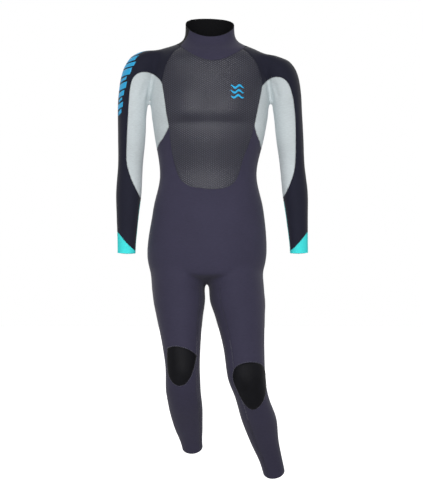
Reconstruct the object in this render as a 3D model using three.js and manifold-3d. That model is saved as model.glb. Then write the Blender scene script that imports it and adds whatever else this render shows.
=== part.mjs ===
// A full-length back-zip wetsuit, standing in the shape of its wearer.
// Millimetres, +Z up, the chest faces -Y.
// The origin is where a stand's neck post holds the suit: the middle of the neck at shoulder height.
// "left" is the wearer's left, which is +X.
import * as THREE from "three";
import { mergeVertices } from "three/addons/utils/BufferGeometryUtils.js";
import Module from "manifold-3d";

const wasm = await Module();
wasm.setup();

// ---------- driving dimensions ----------
const WALL = 4; // neoprene sheet
const GAP = 0.4; // clearance between two pieces sewn edge to edge
const PAD_PROUD = 1.6; // thickness of a layer laid on the outside
const FAR = 2000; // reach of a cutting solid

const CHEST_WIDTH = 366;
const WAIST_WIDTH = 300;
const HIP_WIDTH = 362;
const NECK_WIDTH = 152;
const NECK_DEPTH = 128;
const CHEST_DEPTH = 222;
const WAIST_DEPTH = 184;
const HIP_DEPTH = 226;
const BACK_Y = 97; // the line of the spine, straight so that the zip runs straight
const MIDDLE_Y = BACK_Y - 97; // the middle of the neck and the shoulders
const SHOULDER_WIDTH = CHEST_WIDTH - 10; // across the torso, inside the sleeves
const WAIST_Z = -362;
const CROTCH_Z = -704;
const HIP_RISE = 104; // the widest level of the hips above the crotch

const COLLAR_FRONT_Z = 54; // rim of the collar at the throat
const COLLAR_BACK_Z = 136; // rim of the collar at the nape
const COLLAR_SEAM_FRONT_Z = -9;
const COLLAR_SEAM_BACK_Z = 48;

const UPPER_ARM_WIDTH = 92;
const ELBOW_WIDTH = 78;
const WRIST_WIDTH = 57;
const ARM_SWAY = 9; // both forearms hang a little to the wearer's left
const ARMHOLE_X = CHEST_WIDTH / 2 + 4; // where the sleeves join the torso
const ARM_X = ARMHOLE_X + 53; // middle of the upper sleeve
const WRIST_X = ARM_X + 26;
const ARMPIT_Z = -190;
const WRIST_Z = -604;
const ELBOW_Z = -335;

const THIGH_WIDTH = 158;
const KNEE_WIDTH = 110;
const CALF_WIDTH = 110;
const ANKLE_WIDTH = 62;

const ZIP_TOP_Z = 20;
const ZIP_BOTTOM_Z = CROTCH_Z + 242;
const ZIP_SLOT_HALF = 17; // half of the opening between the two back panels
const TAPE_THICK = 1.4;
const TOOTH_WIDTH = 3.4;
const TOOTH_THICK = 2.6;
const TEETH_PARTING = 1.7; // between the two rows, room for the slider's wedge
const SLIDER_LENGTH = 17;
const SLIDER_WIDTH = 14;
const SLIDER_PLATE = 1.6;
const SLIDER_CLEAR = 0.5;
const PULLER_LENGTH = 42;
const PULLER_WIDTH = 9;
const PULLER_THICK = 1.8;

// ---------- finishes ----------
const colours = {
  navy_neoprene: [0x413e53, 0.85, 0],
  dark_neoprene: [0x2c2c3a, 0.85, 0],
  mesh_skin: [0x44444f, 0.5, 0],
  grey_neoprene: [0xc0c8cd, 0.85, 0],
  cyan_neoprene: [0x45f0f2, 0.8, 0],
  knee_rubber: [0x1b1b1e, 0.7, 0],
  zip_plastic: [0x111214, 0.4, 0],
  zip_metal: [0x8a8d92, 0.35, 0.9],
};

const finish = (slot) =>
  new THREE.MeshStandardMaterial({
    color: colours[slot][0],
    roughness: colours[slot][1],
    metalness: colours[slot][2],
  });

const suit = new THREE.Group();

// ---------- solids ----------
function solid(geometry) {
  const bare = geometry.index ? geometry.toNonIndexed() : geometry.clone();
  bare.deleteAttribute("normal");
  bare.deleteAttribute("uv");
  const merged = mergeVertices(bare, 1e-3);
  return new wasm.Manifold(
    new wasm.Mesh({
      numProp: 3,
      vertProperties: merged.attributes.position.array,
      triVerts: new Uint32Array(merged.index.array),
    }),
  );
}

function geometryOf(body) {
  const mesh = body.getMesh();
  const geometry = new THREE.BufferGeometry();
  geometry.setAttribute("position", new THREE.BufferAttribute(mesh.vertProperties, 3));
  geometry.setIndex(new THREE.BufferAttribute(mesh.triVerts, 1));
  return geometry;
}

function addNode(name, slot, body) {
  const mesh = new THREE.Mesh(geometryOf(body), finish(slot));
  mesh.name = name;
  suit.add(mesh);
}

// A block given by its lowest and highest corners.
function block(low, high) {
  const box = new THREE.BoxGeometry(high[0] - low[0], high[1] - low[1], high[2] - low[2]);
  box.translate((low[0] + high[0]) / 2, (low[1] + high[1]) / 2, (low[2] + high[2]) / 2);
  return solid(box);
}

const between = (lowZ, highZ) => block([-FAR, -FAR, lowZ], [FAR, FAR, highZ]);

// An outline drawn in X and Z, pushed through from lowY to highY.
function plate(outline, lowY, highY) {
  const shape = new THREE.Shape(outline.map(([x, z]) => new THREE.Vector2(x, z)));
  const slab = new THREE.ExtrudeGeometry(shape, { depth: highY - lowY, bevelEnabled: false });
  slab.rotateX(Math.PI / 2);
  slab.translate(0, highY, 0);
  return solid(slab);
}

// Everything below the plane through a point, whose normal is given.
function below(point, normal) {
  const box = new THREE.BoxGeometry(FAR, FAR, FAR);
  box.translate(0, 0, -FAR / 2);
  const turn = new THREE.Quaternion().setFromUnitVectors(
    new THREE.Vector3(0, 0, 1),
    new THREE.Vector3(...normal).normalize(),
  );
  box.applyQuaternion(turn);
  box.translate(...point);
  return solid(box);
}

// A closed tube of level oval sections. A station is [z, middle x, middle y, half width, half depth].
// Sections between the stations lie on smooth curves through them, and swell moves the whole wall out.
function loft(stations, sides, rings, swell) {
  const last = stations.length - 1;
  const endShift = (i) => (i === 0 ? swell : 0) - (i === last ? swell : 0);
  const middles = new THREE.CatmullRomCurve3(
    stations.map(([z, x, y], i) => new THREE.Vector3(x, y, z + endShift(i))),
    false,
    "centripetal",
  );
  const halves = new THREE.CatmullRomCurve3(
    stations.map(([, , , wide, deep], i) => new THREE.Vector3(wide, deep, i * 50)),
    false,
    "centripetal",
  );
  const tube = new THREE.CylinderGeometry(1, 1, 1, sides, rings);
  const places = tube.attributes.position;
  for (let i = 0; i < places.count; i += 1) {
    const along = 0.5 - places.getY(i);
    const middle = middles.getPoint(along);
    const half = halves.getPoint(along);
    const x = places.getX(i) * (half.x + swell);
    const y = places.getZ(i) * (half.y + swell);
    places.setXYZ(i, middle.x + x, middle.y - y, middle.z);
  }
  return solid(tube);
}

// ---------- the wearer's shape ----------
// A torso section whose back stays on the straight line of the spine.
const spine = (z, x, width, depth) => [z, x, BACK_Y - depth / 2, width / 2, depth / 2];

const HIP_BLEND_Z = (WAIST_Z + 24 + CROTCH_Z + HIP_RISE) / 2 - 1;
const torsoStations = [
  [150, 0, BACK_Y - 93, NECK_WIDTH / 2, NECK_DEPTH / 2],
  [95, 0, BACK_Y - 91, NECK_WIDTH / 2, NECK_DEPTH / 2],
  [58, 0, BACK_Y - 83, NECK_WIDTH / 2 + 4, NECK_DEPTH / 2 + 3],
  spine(40, 0, 214, 156),
  spine(24, 0, SHOULDER_WIDTH - 52, 172),
  spine(-6, 0, SHOULDER_WIDTH, 192),
  spine(-90, 0, SHOULDER_WIDTH, 212),
  spine(-165, 0, CHEST_WIDTH, CHEST_DEPTH),
  spine(-240, -1, CHEST_WIDTH - 24, CHEST_DEPTH - 8),
  spine(WAIST_Z, -5, WAIST_WIDTH, WAIST_DEPTH),
  spine(HIP_BLEND_Z, -5, WAIST_WIDTH + 42, WAIST_DEPTH + 16),
  [CROTCH_Z + HIP_RISE, -10, BACK_Y - 105, HIP_WIDTH / 2, HIP_DEPTH / 2],
  [CROTCH_Z + 36, -10, BACK_Y - 103, HIP_WIDTH / 2 - 8, HIP_DEPTH / 2 - 4],
  [CROTCH_Z + 14, -8, BACK_Y - 99, HIP_WIDTH / 2 - 66, HIP_DEPTH / 2 - 28],
  [CROTCH_Z, -7, BACK_Y - 97, 40, 40],
];

// The sleeve of one side: +1 is the wearer's left.
const armStations = (side) => [
  [22, side * (ARM_X - 64), MIDDLE_Y + 4, 34, 42],
  [2, side * (ARM_X - 42), MIDDLE_Y + 3, 52, 56],
  [-45, side * (ARM_X - 23), MIDDLE_Y + 2, 54, 61],
  [-110, side * (ARM_X - 7), MIDDLE_Y + 2, 50, 58],
  [ARMPIT_Z + 25, side * ARM_X, MIDDLE_Y + 3, UPPER_ARM_WIDTH / 2, 54],
  [ELBOW_Z + 85, side * (ARM_X + 5) + 0.3 * ARM_SWAY, MIDDLE_Y + 5, UPPER_ARM_WIDTH / 2 - 3, 50],
  [ELBOW_Z, side * (ARM_X + 11) + 0.5 * ARM_SWAY, MIDDLE_Y + 6, ELBOW_WIDTH / 2, 42],
  [ELBOW_Z - 75, side * (ARM_X + 17) + 0.7 * ARM_SWAY, MIDDLE_Y - 4, ELBOW_WIDTH / 2 + 1, 42],
  [ELBOW_Z - 165, side * (ARM_X + 22) + 0.85 * ARM_SWAY, MIDDLE_Y - 22, ELBOW_WIDTH / 2 - 5, 36],
  [WRIST_Z, side * WRIST_X + ARM_SWAY, MIDDLE_Y - 46, WRIST_WIDTH / 2, 30],
  [WRIST_Z - 50, side * (WRIST_X + 1) + ARM_SWAY, MIDDLE_Y - 56, WRIST_WIDTH / 2, 30],
];

// A height on the legs, given as the drop from the crotch.
const down = (drop) => CROTCH_Z - drop;

// The wearer stands with the left leg forward, so the two legs have their own lines.
const legStations = {
  left: [
    [down(-114), 74, MIDDLE_Y - 8, 56, 60],
    [down(-59), 77, MIDDLE_Y - 9, 80, 92],
    [down(-9), 82, MIDDLE_Y - 12, 86, 102],
    [down(41), 88, MIDDLE_Y - 28, THIGH_WIDTH / 2 + 3, 94],
    [down(96), 95, MIDDLE_Y - 50, 74, 84],
    [down(196), 106, MIDDLE_Y - 100, 61, 66],
    [down(281), 113, MIDDLE_Y - 136, KNEE_WIDTH / 2 + 1, 60],
    [down(346), 130, MIDDLE_Y - 112, KNEE_WIDTH / 2 - 3, 62],
    [down(401), 148, MIDDLE_Y - 78, CALF_WIDTH / 2, 62],
    [down(481), 168, MIDDLE_Y - 36, 45, 48],
    [down(558), 192, MIDDLE_Y - 2, ANKLE_WIDTH / 2 + 4, 37],
    [down(646), 213, MIDDLE_Y + 34, ANKLE_WIDTH / 2 + 2, 35],
  ],
  right: [
    [down(-114), -92, MIDDLE_Y - 8, 56, 60],
    [down(-59), -98, MIDDLE_Y - 8, 84, 92],
    [down(-9), -99, MIDDLE_Y - 10, 83, 102],
    [down(41), -98, MIDDLE_Y - 22, THIGH_WIDTH / 2 - 2, 92],
    [down(96), -95, MIDDLE_Y - 40, 69, 82],
    [down(186), -88, MIDDLE_Y - 78, 57, 66],
    [down(261), -83, MIDDLE_Y - 104, KNEE_WIDTH / 2 - 2, 59],
    [down(316), -82, MIDDLE_Y - 88, KNEE_WIDTH / 2 - 1, 60],
    [down(366), -76, MIDDLE_Y - 62, CALF_WIDTH / 2 - 2, 60],
    [down(436), -67, MIDDLE_Y - 16, 45, 48],
    [down(501), -55, MIDDLE_Y + 24, ANKLE_WIDTH / 2 + 2, 36],
    [down(586), -42, MIDDLE_Y + 66, ANKLE_WIDTH / 2, 34],
  ],
};

const TORSO_SIDES = 24;
const TORSO_RINGS = 16;
const ARM_SIDES = 12;
const ARM_RINGS = 11;
const LEG_SIDES = 14;
const LEG_RINGS = 12;

// The whole wearer as one solid, swollen by a distance.
function wearer(swell) {
  let body = loft(torsoStations, TORSO_SIDES, TORSO_RINGS, swell);
  for (const side of [-1, 1]) {
    body = body.add(loft(armStations(side), ARM_SIDES, ARM_RINGS, swell));
  }
  for (const name of ["left", "right"]) {
    body = body.add(loft(legStations[name], LEG_SIDES, LEG_RINGS, swell));
  }
  return body;
}

const outside = wearer(0);

// ---------- openings ----------
const rimSlope = (COLLAR_BACK_Z - COLLAR_FRONT_Z) / NECK_DEPTH;
const seamSlope = (COLLAR_SEAM_BACK_Z - COLLAR_SEAM_FRONT_Z) / (NECK_DEPTH + 12);
const underRim = below([0, MIDDLE_Y - NECK_DEPTH / 2 + 6, COLLAR_FRONT_Z], [0, -rimSlope, 1]);

// The space of the collar: above its sloping seam and between the shoulders.
function collarSpace(grow) {
  const half = NECK_WIDTH / 2 + 16 + grow;
  const throat = [0, MIDDLE_Y - NECK_DEPTH / 2, COLLAR_SEAM_FRONT_Z - grow];
  const seam = below(throat, [0, -seamSlope, 1]);
  return block([-half, -FAR, -100], [half, FAR, FAR]).subtract(seam);
}

const ankles = {
  left: { middle: [197, MIDDLE_Y + 4, down(580)], along: [-0.24, -0.8, 1] },
  right: { middle: [-54, MIDDLE_Y + 30, down(500)], along: [-0.17, -0.8, 1] },
};
const wristAlong = (side) => [-side * 0.03, -0.06, 1];
const wristCut = (side, up) => below([side * WRIST_X, MIDDLE_Y - 46, WRIST_Z + up], wristAlong(side));

function ankleCut(name, up) {
  const { middle, along } = ankles[name];
  const plane = below([middle[0], middle[1], middle[2] + up], along);
  const isLeft = name === "left";
  const shinSide = block([isLeft ? 0 : -FAR, -FAR, -FAR], [isLeft ? FAR : 0, FAR, down(296)]);
  return plane.intersect(shinSide);
}

const shell = outside.subtract(wearer(-WALL));

// ---------- sleeves ----------
// The line between a sleeve and the side of the body, seen from the front.
const sleeveSide = (side, gap) => {
  const lowZ = WRIST_Z - 96;
  const inner = [
    [ARMHOLE_X, 200],
    [ARMHOLE_X, -230],
    [ARMHOLE_X + 18, -500],
    [ARMHOLE_X + 25, lowZ],
  ].map(([x, z]) => [side * (x + gap), z]);
  return plate([...inner, [side * FAR, lowZ], [side * FAR, 200]], -FAR, FAR);
};

// The rings below the armpit and round the elbow bend; the stretches between them hold their shape.
const elbowTop = ELBOW_Z + 40;
const elbowBottom = ELBOW_Z - 46;
const shoulderBottom = ARMPIT_Z + (64 / 105) * (elbowTop - ARMPIT_Z);
const CUFF_OUTER_Z = -538; // where the accent panel starts on the outside of the sleeve
const CUFF_INNER_Z = -590;

const slab = (body, lowZ, highZ) => body.intersect(between(lowZ, highZ));

for (const [name, side] of [
  ["left", 1],
  ["right", -1],
]) {
  const sleeve = shell.intersect(sleeveSide(side, 0)).subtract(wristCut(side, 0));
  const upper = slab(sleeve, elbowTop, shoulderBottom - GAP);
  const beyond = (x) => block(
    [side > 0 ? x : -FAR, -FAR, -FAR],
    [side > 0 ? FAR : -x, FAR, FAR],
  );
  addNode("shoulder_cap_" + name, "dark_neoprene", slab(sleeve, ARMPIT_Z, FAR));
  addNode("shoulder_sleeve_" + name, "dark_neoprene", slab(sleeve, shoulderBottom, ARMPIT_Z - GAP));
  addNode("upper_sleeve_" + name, "dark_neoprene", upper.intersect(beyond(ARM_X + GAP)));
  addNode("underarm_panel_" + name, "grey_neoprene", upper.subtract(beyond(ARM_X)));
  addNode("elbow_sleeve_" + name, "grey_neoprene", slab(sleeve, elbowBottom, elbowTop - GAP));
  const forearm = slab(sleeve, -FAR, elbowBottom - GAP);
  const accentSlope = (CUFF_INNER_Z - CUFF_OUTER_Z) / WRIST_WIDTH;
  const accentMiddle = (CUFF_OUTER_Z + CUFF_INNER_Z) / 2;
  const accent = (up) => below([side * WRIST_X, 0, accentMiddle + up], [side * accentSlope, 0, 1]);
  addNode("forearm_sleeve_" + name, "dark_neoprene", forearm.subtract(accent(0)));
  addNode("cuff_accent_" + name, "cyan_neoprene", forearm.intersect(accent(-GAP)));
}

// ---------- legs ----------
const legLevels = {
  left: { thighTop: down(121), kneeTop: down(221), kneeBottom: down(344) },
  right: { thighTop: down(111), kneeTop: down(201), kneeBottom: down(321) },
};
const LEG_TOP_Z = CROTCH_Z - 4;
const LEG_PARTING_X = -6;
const HEM_HEIGHT = 22;
const KNEE_STATION = 6; // the leg station at the knee

// The outline of a knee pad, seen from the front: a domed top and a rounded point below.
function kneeOutline(middleX, topZ, bottomZ, halfWidth, lean) {
  const shape = new THREE.Shape();
  const shoulderZ = topZ - 22;
  shape.moveTo(middleX - halfWidth, shoulderZ);
  shape.quadraticCurveTo(middleX, topZ + 14, middleX + halfWidth, shoulderZ);
  shape.bezierCurveTo(
    middleX + halfWidth + lean / 2,
    (topZ + bottomZ) / 2,
    middleX + halfWidth * 0.6 + lean,
    bottomZ,
    middleX + lean,
    bottomZ,
  );
  shape.bezierCurveTo(
    middleX - halfWidth * 0.6 + lean,
    bottomZ,
    middleX - halfWidth + lean / 2,
    (topZ + bottomZ) / 2,
    middleX - halfWidth,
    shoulderZ,
  );
  return shape.getPoints(6).map((p) => [p.x, p.y]);
}

const kneePads = {
  left: kneeOutline(114, down(214), down(386), 50, 24),
  right: kneeOutline(-86, down(178), down(316), 47, 4),
};

for (const name of ["left", "right"]) {
  const isLeft = name === "left";
  const half = block(
    [isLeft ? LEG_PARTING_X : -FAR, -FAR, -FAR],
    [isLeft ? FAR : LEG_PARTING_X - GAP, FAR, LEG_TOP_Z],
  );
  const leg = shell
    .intersect(half)
    .subtract(ankleCut(name, 0))
    .subtract(sleeveSide(1, 0))
    .subtract(sleeveSide(-1, 0));
  const { thighTop, kneeTop, kneeBottom } = legLevels[name];
  addNode("hip_leg_" + name, "navy_neoprene", slab(leg, thighTop, LEG_TOP_Z));
  addNode("thigh_leg_" + name, "navy_neoprene", slab(leg, kneeTop, thighTop - GAP));
  addNode("knee_leg_" + name, "navy_neoprene", slab(leg, kneeBottom, kneeTop - GAP));
  const lower = slab(leg, -FAR, kneeBottom - GAP);
  addNode("shin_leg_" + name, "navy_neoprene", lower.subtract(ankleCut(name, HEM_HEIGHT)));
  addNode("ankle_hem_" + name, "dark_neoprene", lower.intersect(ankleCut(name, HEM_HEIGHT - GAP)));
  const layer = loft(legStations[name], LEG_SIDES, LEG_RINGS, GAP + PAD_PROUD).subtract(
    loft(legStations[name], LEG_SIDES, LEG_RINGS, GAP),
  );
  const frontY = legStations[name][KNEE_STATION][2];
  addNode("knee_pad_" + name, "knee_rubber", layer.intersect(plate(kneePads[name], -FAR, frontY)));
}

// ---------- torso panels ----------
const torso = shell
  .intersect(between(LEG_TOP_Z + GAP, FAR))
  .subtract(sleeveSide(1, -GAP))
  .subtract(sleeveSide(-1, -GAP));
const bodice = torso.subtract(collarSpace(GAP));

// The chest panel runs from the collar to above the waist.
// It is wide at the yoke, drawn in at the ribs and rounded at the foot.
const chestHalf = [
  [100, 60],
  [126, -10],
  [146, -50],
  [151, -88],
  [146, -150],
  [128, -212],
  [112, -290],
  [104, -340],
  [88, -384],
  [58, -404],
];
const chestOutline = (grow) => [
  ...chestHalf.map(([x, z]) => [x + grow, z - grow]),
  ...[...chestHalf].reverse().map(([x, z]) => [-x - grow, z - grow]),
];
const sideOutline = (side, grow) =>
  [
    [FAR, -82 + grow],
    [100, -82 + grow],
    [100, -218 - grow],
    [128, -214 - grow],
    [166, -292 - grow],
    [FAR, -292 - grow],
  ].map(([x, z]) => [side * (x - (x < FAR ? grow : 0)), z]);

const chestCut = plate(chestOutline(0), -FAR, MIDDLE_Y);
const chestCutWide = plate(chestOutline(GAP), -FAR, MIDDLE_Y + GAP);
addNode("chest_panel", "mesh_skin", bodice.intersect(chestCut));

let rest = bodice.subtract(chestCutWide);
for (const [name, side] of [
  ["left", 1],
  ["right", -1],
]) {
  const under = plate(sideOutline(side, 0), -FAR, FAR);
  addNode("side_panel_" + name, "grey_neoprene", rest.intersect(under));
}
for (const side of [1, -1]) {
  rest = rest.subtract(plate(sideOutline(side, GAP), -FAR, FAR));
}

// The back opens down the zip.
const slotLow = ZIP_BOTTOM_Z - 8;
rest = rest.subtract(block([-ZIP_SLOT_HALF, MIDDLE_Y, slotLow], [ZIP_SLOT_HALF, FAR, FAR]));

const YOKE_Z = -82;
const SEAT_Z = ZIP_BOTTOM_Z - 16;
const yoke = rest.intersect(between(YOKE_Z + GAP, FAR));
const front = rest.intersect(block([-FAR, -FAR, -FAR], [FAR, MIDDLE_Y, YOKE_Z]));
const rear = rest.intersect(block([-FAR, MIDDLE_Y + GAP, -FAR], [FAR, FAR, YOKE_Z]));
addNode("shoulder_yoke_left", "dark_neoprene", yoke.intersect(block([0, -FAR, -FAR], [FAR, FAR, FAR])));
addNode("shoulder_yoke_right", "dark_neoprene", yoke.intersect(block([-FAR, -FAR, -FAR], [0, FAR, FAR])));
addNode("front_body_panel", "navy_neoprene", front);
addNode("back_panel_left", "navy_neoprene", rear.intersect(block([0, MIDDLE_Y, SEAT_Z], [FAR, FAR, FAR])));
addNode("back_panel_right", "navy_neoprene", rear.intersect(block([-FAR, MIDDLE_Y, SEAT_Z], [0, FAR, FAR])));
addNode("seat_panel", "navy_neoprene", rear.intersect(between(-FAR, SEAT_Z - GAP)));

// ---------- collar ----------
const CLOSURE_HALF = 10; // half of the slit at the nape
const FLAP_HINGE_X = 44;
const collarWall = torso.intersect(underRim).intersect(collarSpace(0));
addNode(
  "collar",
  "navy_neoprene",
  collarWall.subtract(block([-CLOSURE_HALF, MIDDLE_Y, -FAR], [CLOSURE_HALF, FAR, FAR])),
);
const flapLayer = loft(torsoStations, TORSO_SIDES, TORSO_RINGS, GAP + PAD_PROUD + 1).subtract(
  loft(torsoStations, TORSO_SIDES, TORSO_RINGS, GAP),
);
addNode(
  "collar_flap",
  "knee_rubber",
  flapLayer.intersect(block([-FLAP_HINGE_X, MIDDLE_Y + 20, 66], [FLAP_HINGE_X, FAR, 112])),
);

// ---------- zip ----------
const TAPE_Y = BACK_Y - 2.4; // inner face of the tape
const TEETH_Y = TAPE_Y + TAPE_THICK + GAP;
const BACKING_HALF = 32;
const BACKING_Y = BACK_Y - WALL - 3.8; // outer face, clear of the panels' curve
for (const [name, side] of [
  ["left", 1],
  ["right", -1],
]) {
  const inner = TEETH_PARTING / 2;
  const spanX = (from, to) => [Math.min(side * from, side * to), Math.max(side * from, side * to)];
  const tapeX = spanX(inner + 1, ZIP_SLOT_HALF - GAP);
  const teethX = spanX(inner, inner + TOOTH_WIDTH);
  addNode(
    "zip_tape_" + name,
    "zip_plastic",
    block([tapeX[0], TAPE_Y, ZIP_BOTTOM_Z], [tapeX[1], TAPE_Y + TAPE_THICK, ZIP_TOP_Z]),
  );
  addNode(
    "zip_teeth_" + name,
    "zip_plastic",
    block([teethX[0], TEETH_Y, ZIP_BOTTOM_Z + 10], [teethX[1], TEETH_Y + TOOTH_THICK, ZIP_TOP_Z - 8]),
  );
  addNode(
    "zip_top_stop_" + name,
    "zip_metal",
    block([teethX[0], TEETH_Y, ZIP_TOP_Z - 8 + GAP], [teethX[1], TEETH_Y + TOOTH_THICK, ZIP_TOP_Z - 2]),
  );
}
const teethHalf = TEETH_PARTING / 2 + TOOTH_WIDTH;
const footLow = [-teethHalf, TEETH_Y, ZIP_BOTTOM_Z + 2];
const footHigh = [teethHalf, TEETH_Y + TOOTH_THICK, ZIP_BOTTOM_Z + 10 - GAP];
addNode("zip_bottom_stop", "zip_metal", block(footLow, footHigh));
addNode(
  "zip_backing_flap",
  "dark_neoprene",
  block([-BACKING_HALF, BACKING_Y - 3, ZIP_BOTTOM_Z - 4], [BACKING_HALF, BACKING_Y, ZIP_TOP_Z - 2]),
);

// The slider wraps the teeth: a front plate, two side lips, and a wedge between the rows.
const sliderTop = ZIP_TOP_Z - 8 - 1;
const sliderLow = sliderTop - SLIDER_LENGTH;
const plateY = TEETH_Y + TOOTH_THICK + SLIDER_CLEAR;
const LIP = 1.2;
const EYE_RADIUS = 2.4;
const EYE_HOLE_RADIUS = 1.35;
const PIN_RADIUS = 0.9;
const EAR_WIDTH = 1.6;
const earX = PULLER_WIDTH / 2 + EAR_WIDTH / 2 + SLIDER_CLEAR;
const pinY = plateY + SLIDER_PLATE + EYE_RADIUS + SLIDER_CLEAR;
const pinZ = sliderTop - 5;

// A round bar along X on the puller's axis.
function bar(radius, halfLength) {
  const round = new THREE.CylinderGeometry(radius, radius, 2 * halfLength, 16);
  round.rotateZ(Math.PI / 2);
  round.translate(0, pinY, pinZ);
  return solid(round);
}

function sliderBody() {
  const halfWide = SLIDER_WIDTH / 2;
  let body = block([-halfWide, plateY, sliderLow], [halfWide, plateY + SLIDER_PLATE, sliderTop]);
  const wedgeHalf = TEETH_PARTING / 2 - GAP;
  const wedgeLow = [-wedgeHalf, TEETH_Y, sliderTop - 6];
  body = body.add(block(wedgeLow, [wedgeHalf, plateY + SLIDER_CLEAR, sliderTop]));
  for (const side of [-1, 1]) {
    const lipX = side * (SLIDER_WIDTH / 2 - LIP / 2);
    body = body.add(
      block(
        [lipX - LIP / 2, TEETH_Y + GAP / 2, sliderLow],
        [lipX + LIP / 2, plateY + SLIDER_CLEAR, sliderTop],
      ),
    );
    const middle = side * earX;
    body = body.add(
      block(
        [middle - EAR_WIDTH / 2, plateY + SLIDER_CLEAR, pinZ - 2],
        [middle + EAR_WIDTH / 2, pinY + PIN_RADIUS + SLIDER_CLEAR, pinZ + 2],
      ),
    );
  }
  return body.add(bar(PIN_RADIUS, earX));
}
addNode("zip_slider", "zip_metal", sliderBody());

// The puller hangs on the slider's pin by a round eye.
const tab = block(
  [-PULLER_WIDTH / 2, pinY - PULLER_THICK / 2, pinZ - PULLER_LENGTH],
  [PULLER_WIDTH / 2, pinY + PULLER_THICK / 2, pinZ],
);
const eye = bar(EYE_RADIUS, PULLER_WIDTH / 2);
addNode("zip_puller", "zip_metal", tab.add(eye).subtract(bar(EYE_HOLE_RADIUS, PULLER_WIDTH)));

export default suit;
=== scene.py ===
import math

import bpy
import numpy as np
from bpy.props import FloatProperty, FloatVectorProperty, PointerProperty
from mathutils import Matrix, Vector
from mathutils.bvhtree import BVHTree


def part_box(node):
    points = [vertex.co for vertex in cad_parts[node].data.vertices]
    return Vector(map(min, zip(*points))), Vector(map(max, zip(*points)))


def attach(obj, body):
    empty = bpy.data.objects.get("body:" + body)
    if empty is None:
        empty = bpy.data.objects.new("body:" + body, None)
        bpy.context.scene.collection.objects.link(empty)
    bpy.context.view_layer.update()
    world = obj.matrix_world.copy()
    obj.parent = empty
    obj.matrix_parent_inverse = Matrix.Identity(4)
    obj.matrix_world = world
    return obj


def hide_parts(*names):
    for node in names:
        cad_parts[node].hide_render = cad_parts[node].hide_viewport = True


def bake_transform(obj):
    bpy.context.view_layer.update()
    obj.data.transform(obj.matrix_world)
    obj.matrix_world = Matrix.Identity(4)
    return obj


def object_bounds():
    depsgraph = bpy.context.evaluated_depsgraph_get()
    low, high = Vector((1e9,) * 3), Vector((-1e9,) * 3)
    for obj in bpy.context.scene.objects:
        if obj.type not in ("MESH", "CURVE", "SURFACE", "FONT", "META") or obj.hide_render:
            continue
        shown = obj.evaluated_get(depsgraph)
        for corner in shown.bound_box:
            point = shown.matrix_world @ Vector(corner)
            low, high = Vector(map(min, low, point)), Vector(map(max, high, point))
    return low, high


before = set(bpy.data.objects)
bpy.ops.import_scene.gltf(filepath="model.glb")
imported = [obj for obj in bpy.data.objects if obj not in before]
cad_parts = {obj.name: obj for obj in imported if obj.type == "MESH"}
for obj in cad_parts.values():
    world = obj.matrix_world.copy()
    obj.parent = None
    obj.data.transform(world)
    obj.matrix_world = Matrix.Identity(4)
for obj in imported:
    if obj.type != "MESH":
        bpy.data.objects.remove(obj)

bl_info = {
    "name": "Full wetsuit",
    "version": (1, 0, 0),
    "blender": (4, 5, 0),
    "location": "View3D > Sidebar > Wetsuit",
    "description": "Builds a full-length back-zip wetsuit panel by panel on its jointed frame",
    "category": "Add Mesh",
}

CAD_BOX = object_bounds()

SIDES = (("left", 1), ("right", -1))

# ---------- the wearer's shape ----------
# Each station is height, middle x, middle y, half width and half depth, from the top down.
BACK_Y = 0.097

TORSO_STATIONS = (
    (0.150, 0.0, 0.004, 0.076, 0.064),
    (0.095, 0.0, 0.006, 0.076, 0.064),
    (0.058, 0.0, 0.014, 0.080, 0.067),
    (0.040, 0.0, BACK_Y - 0.078, 0.112, 0.078),
    (0.024, 0.0, BACK_Y - 0.086, 0.158, 0.086),
    (-0.006, 0.0, BACK_Y - 0.096, 0.178, 0.096),
    (-0.090, 0.0, BACK_Y - 0.106, 0.178, 0.106),
    (-0.165, 0.0, BACK_Y - 0.111, 0.183, 0.111),
    (-0.240, -0.001, BACK_Y - 0.107, 0.171, 0.107),
    (-0.362, -0.005, BACK_Y - 0.092, 0.150, 0.092),
    (-0.470, -0.005, BACK_Y - 0.100, 0.171, 0.100),
    (-0.600, -0.009, -0.008, 0.185, 0.113),
    (-0.668, -0.010, -0.006, 0.173, 0.109),
    (-0.682, -0.008, -0.002, 0.115, 0.085),
    (-0.695, -0.007, 0.000, 0.040, 0.040),
)
ARM_STATIONS = (
    (0.018, 0.176, 0.004, 0.030, 0.042),
    (-0.002, 0.197, 0.003, 0.049, 0.056),
    (-0.045, 0.217, 0.002, 0.054, 0.061),
    (-0.110, 0.233, 0.002, 0.050, 0.058),
    (-0.165, 0.240, 0.003, 0.046, 0.054),
    (-0.250, 0.245, 0.005, 0.043, 0.050),
    (-0.335, 0.251, 0.006, 0.039, 0.042),
    (-0.410, 0.257, -0.004, 0.040, 0.042),
    (-0.500, 0.262, -0.022, 0.034, 0.036),
    (-0.604, 0.266, -0.046, 0.0285, 0.030),
    (-0.654, 0.267, -0.056, 0.0285, 0.030),
)
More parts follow.
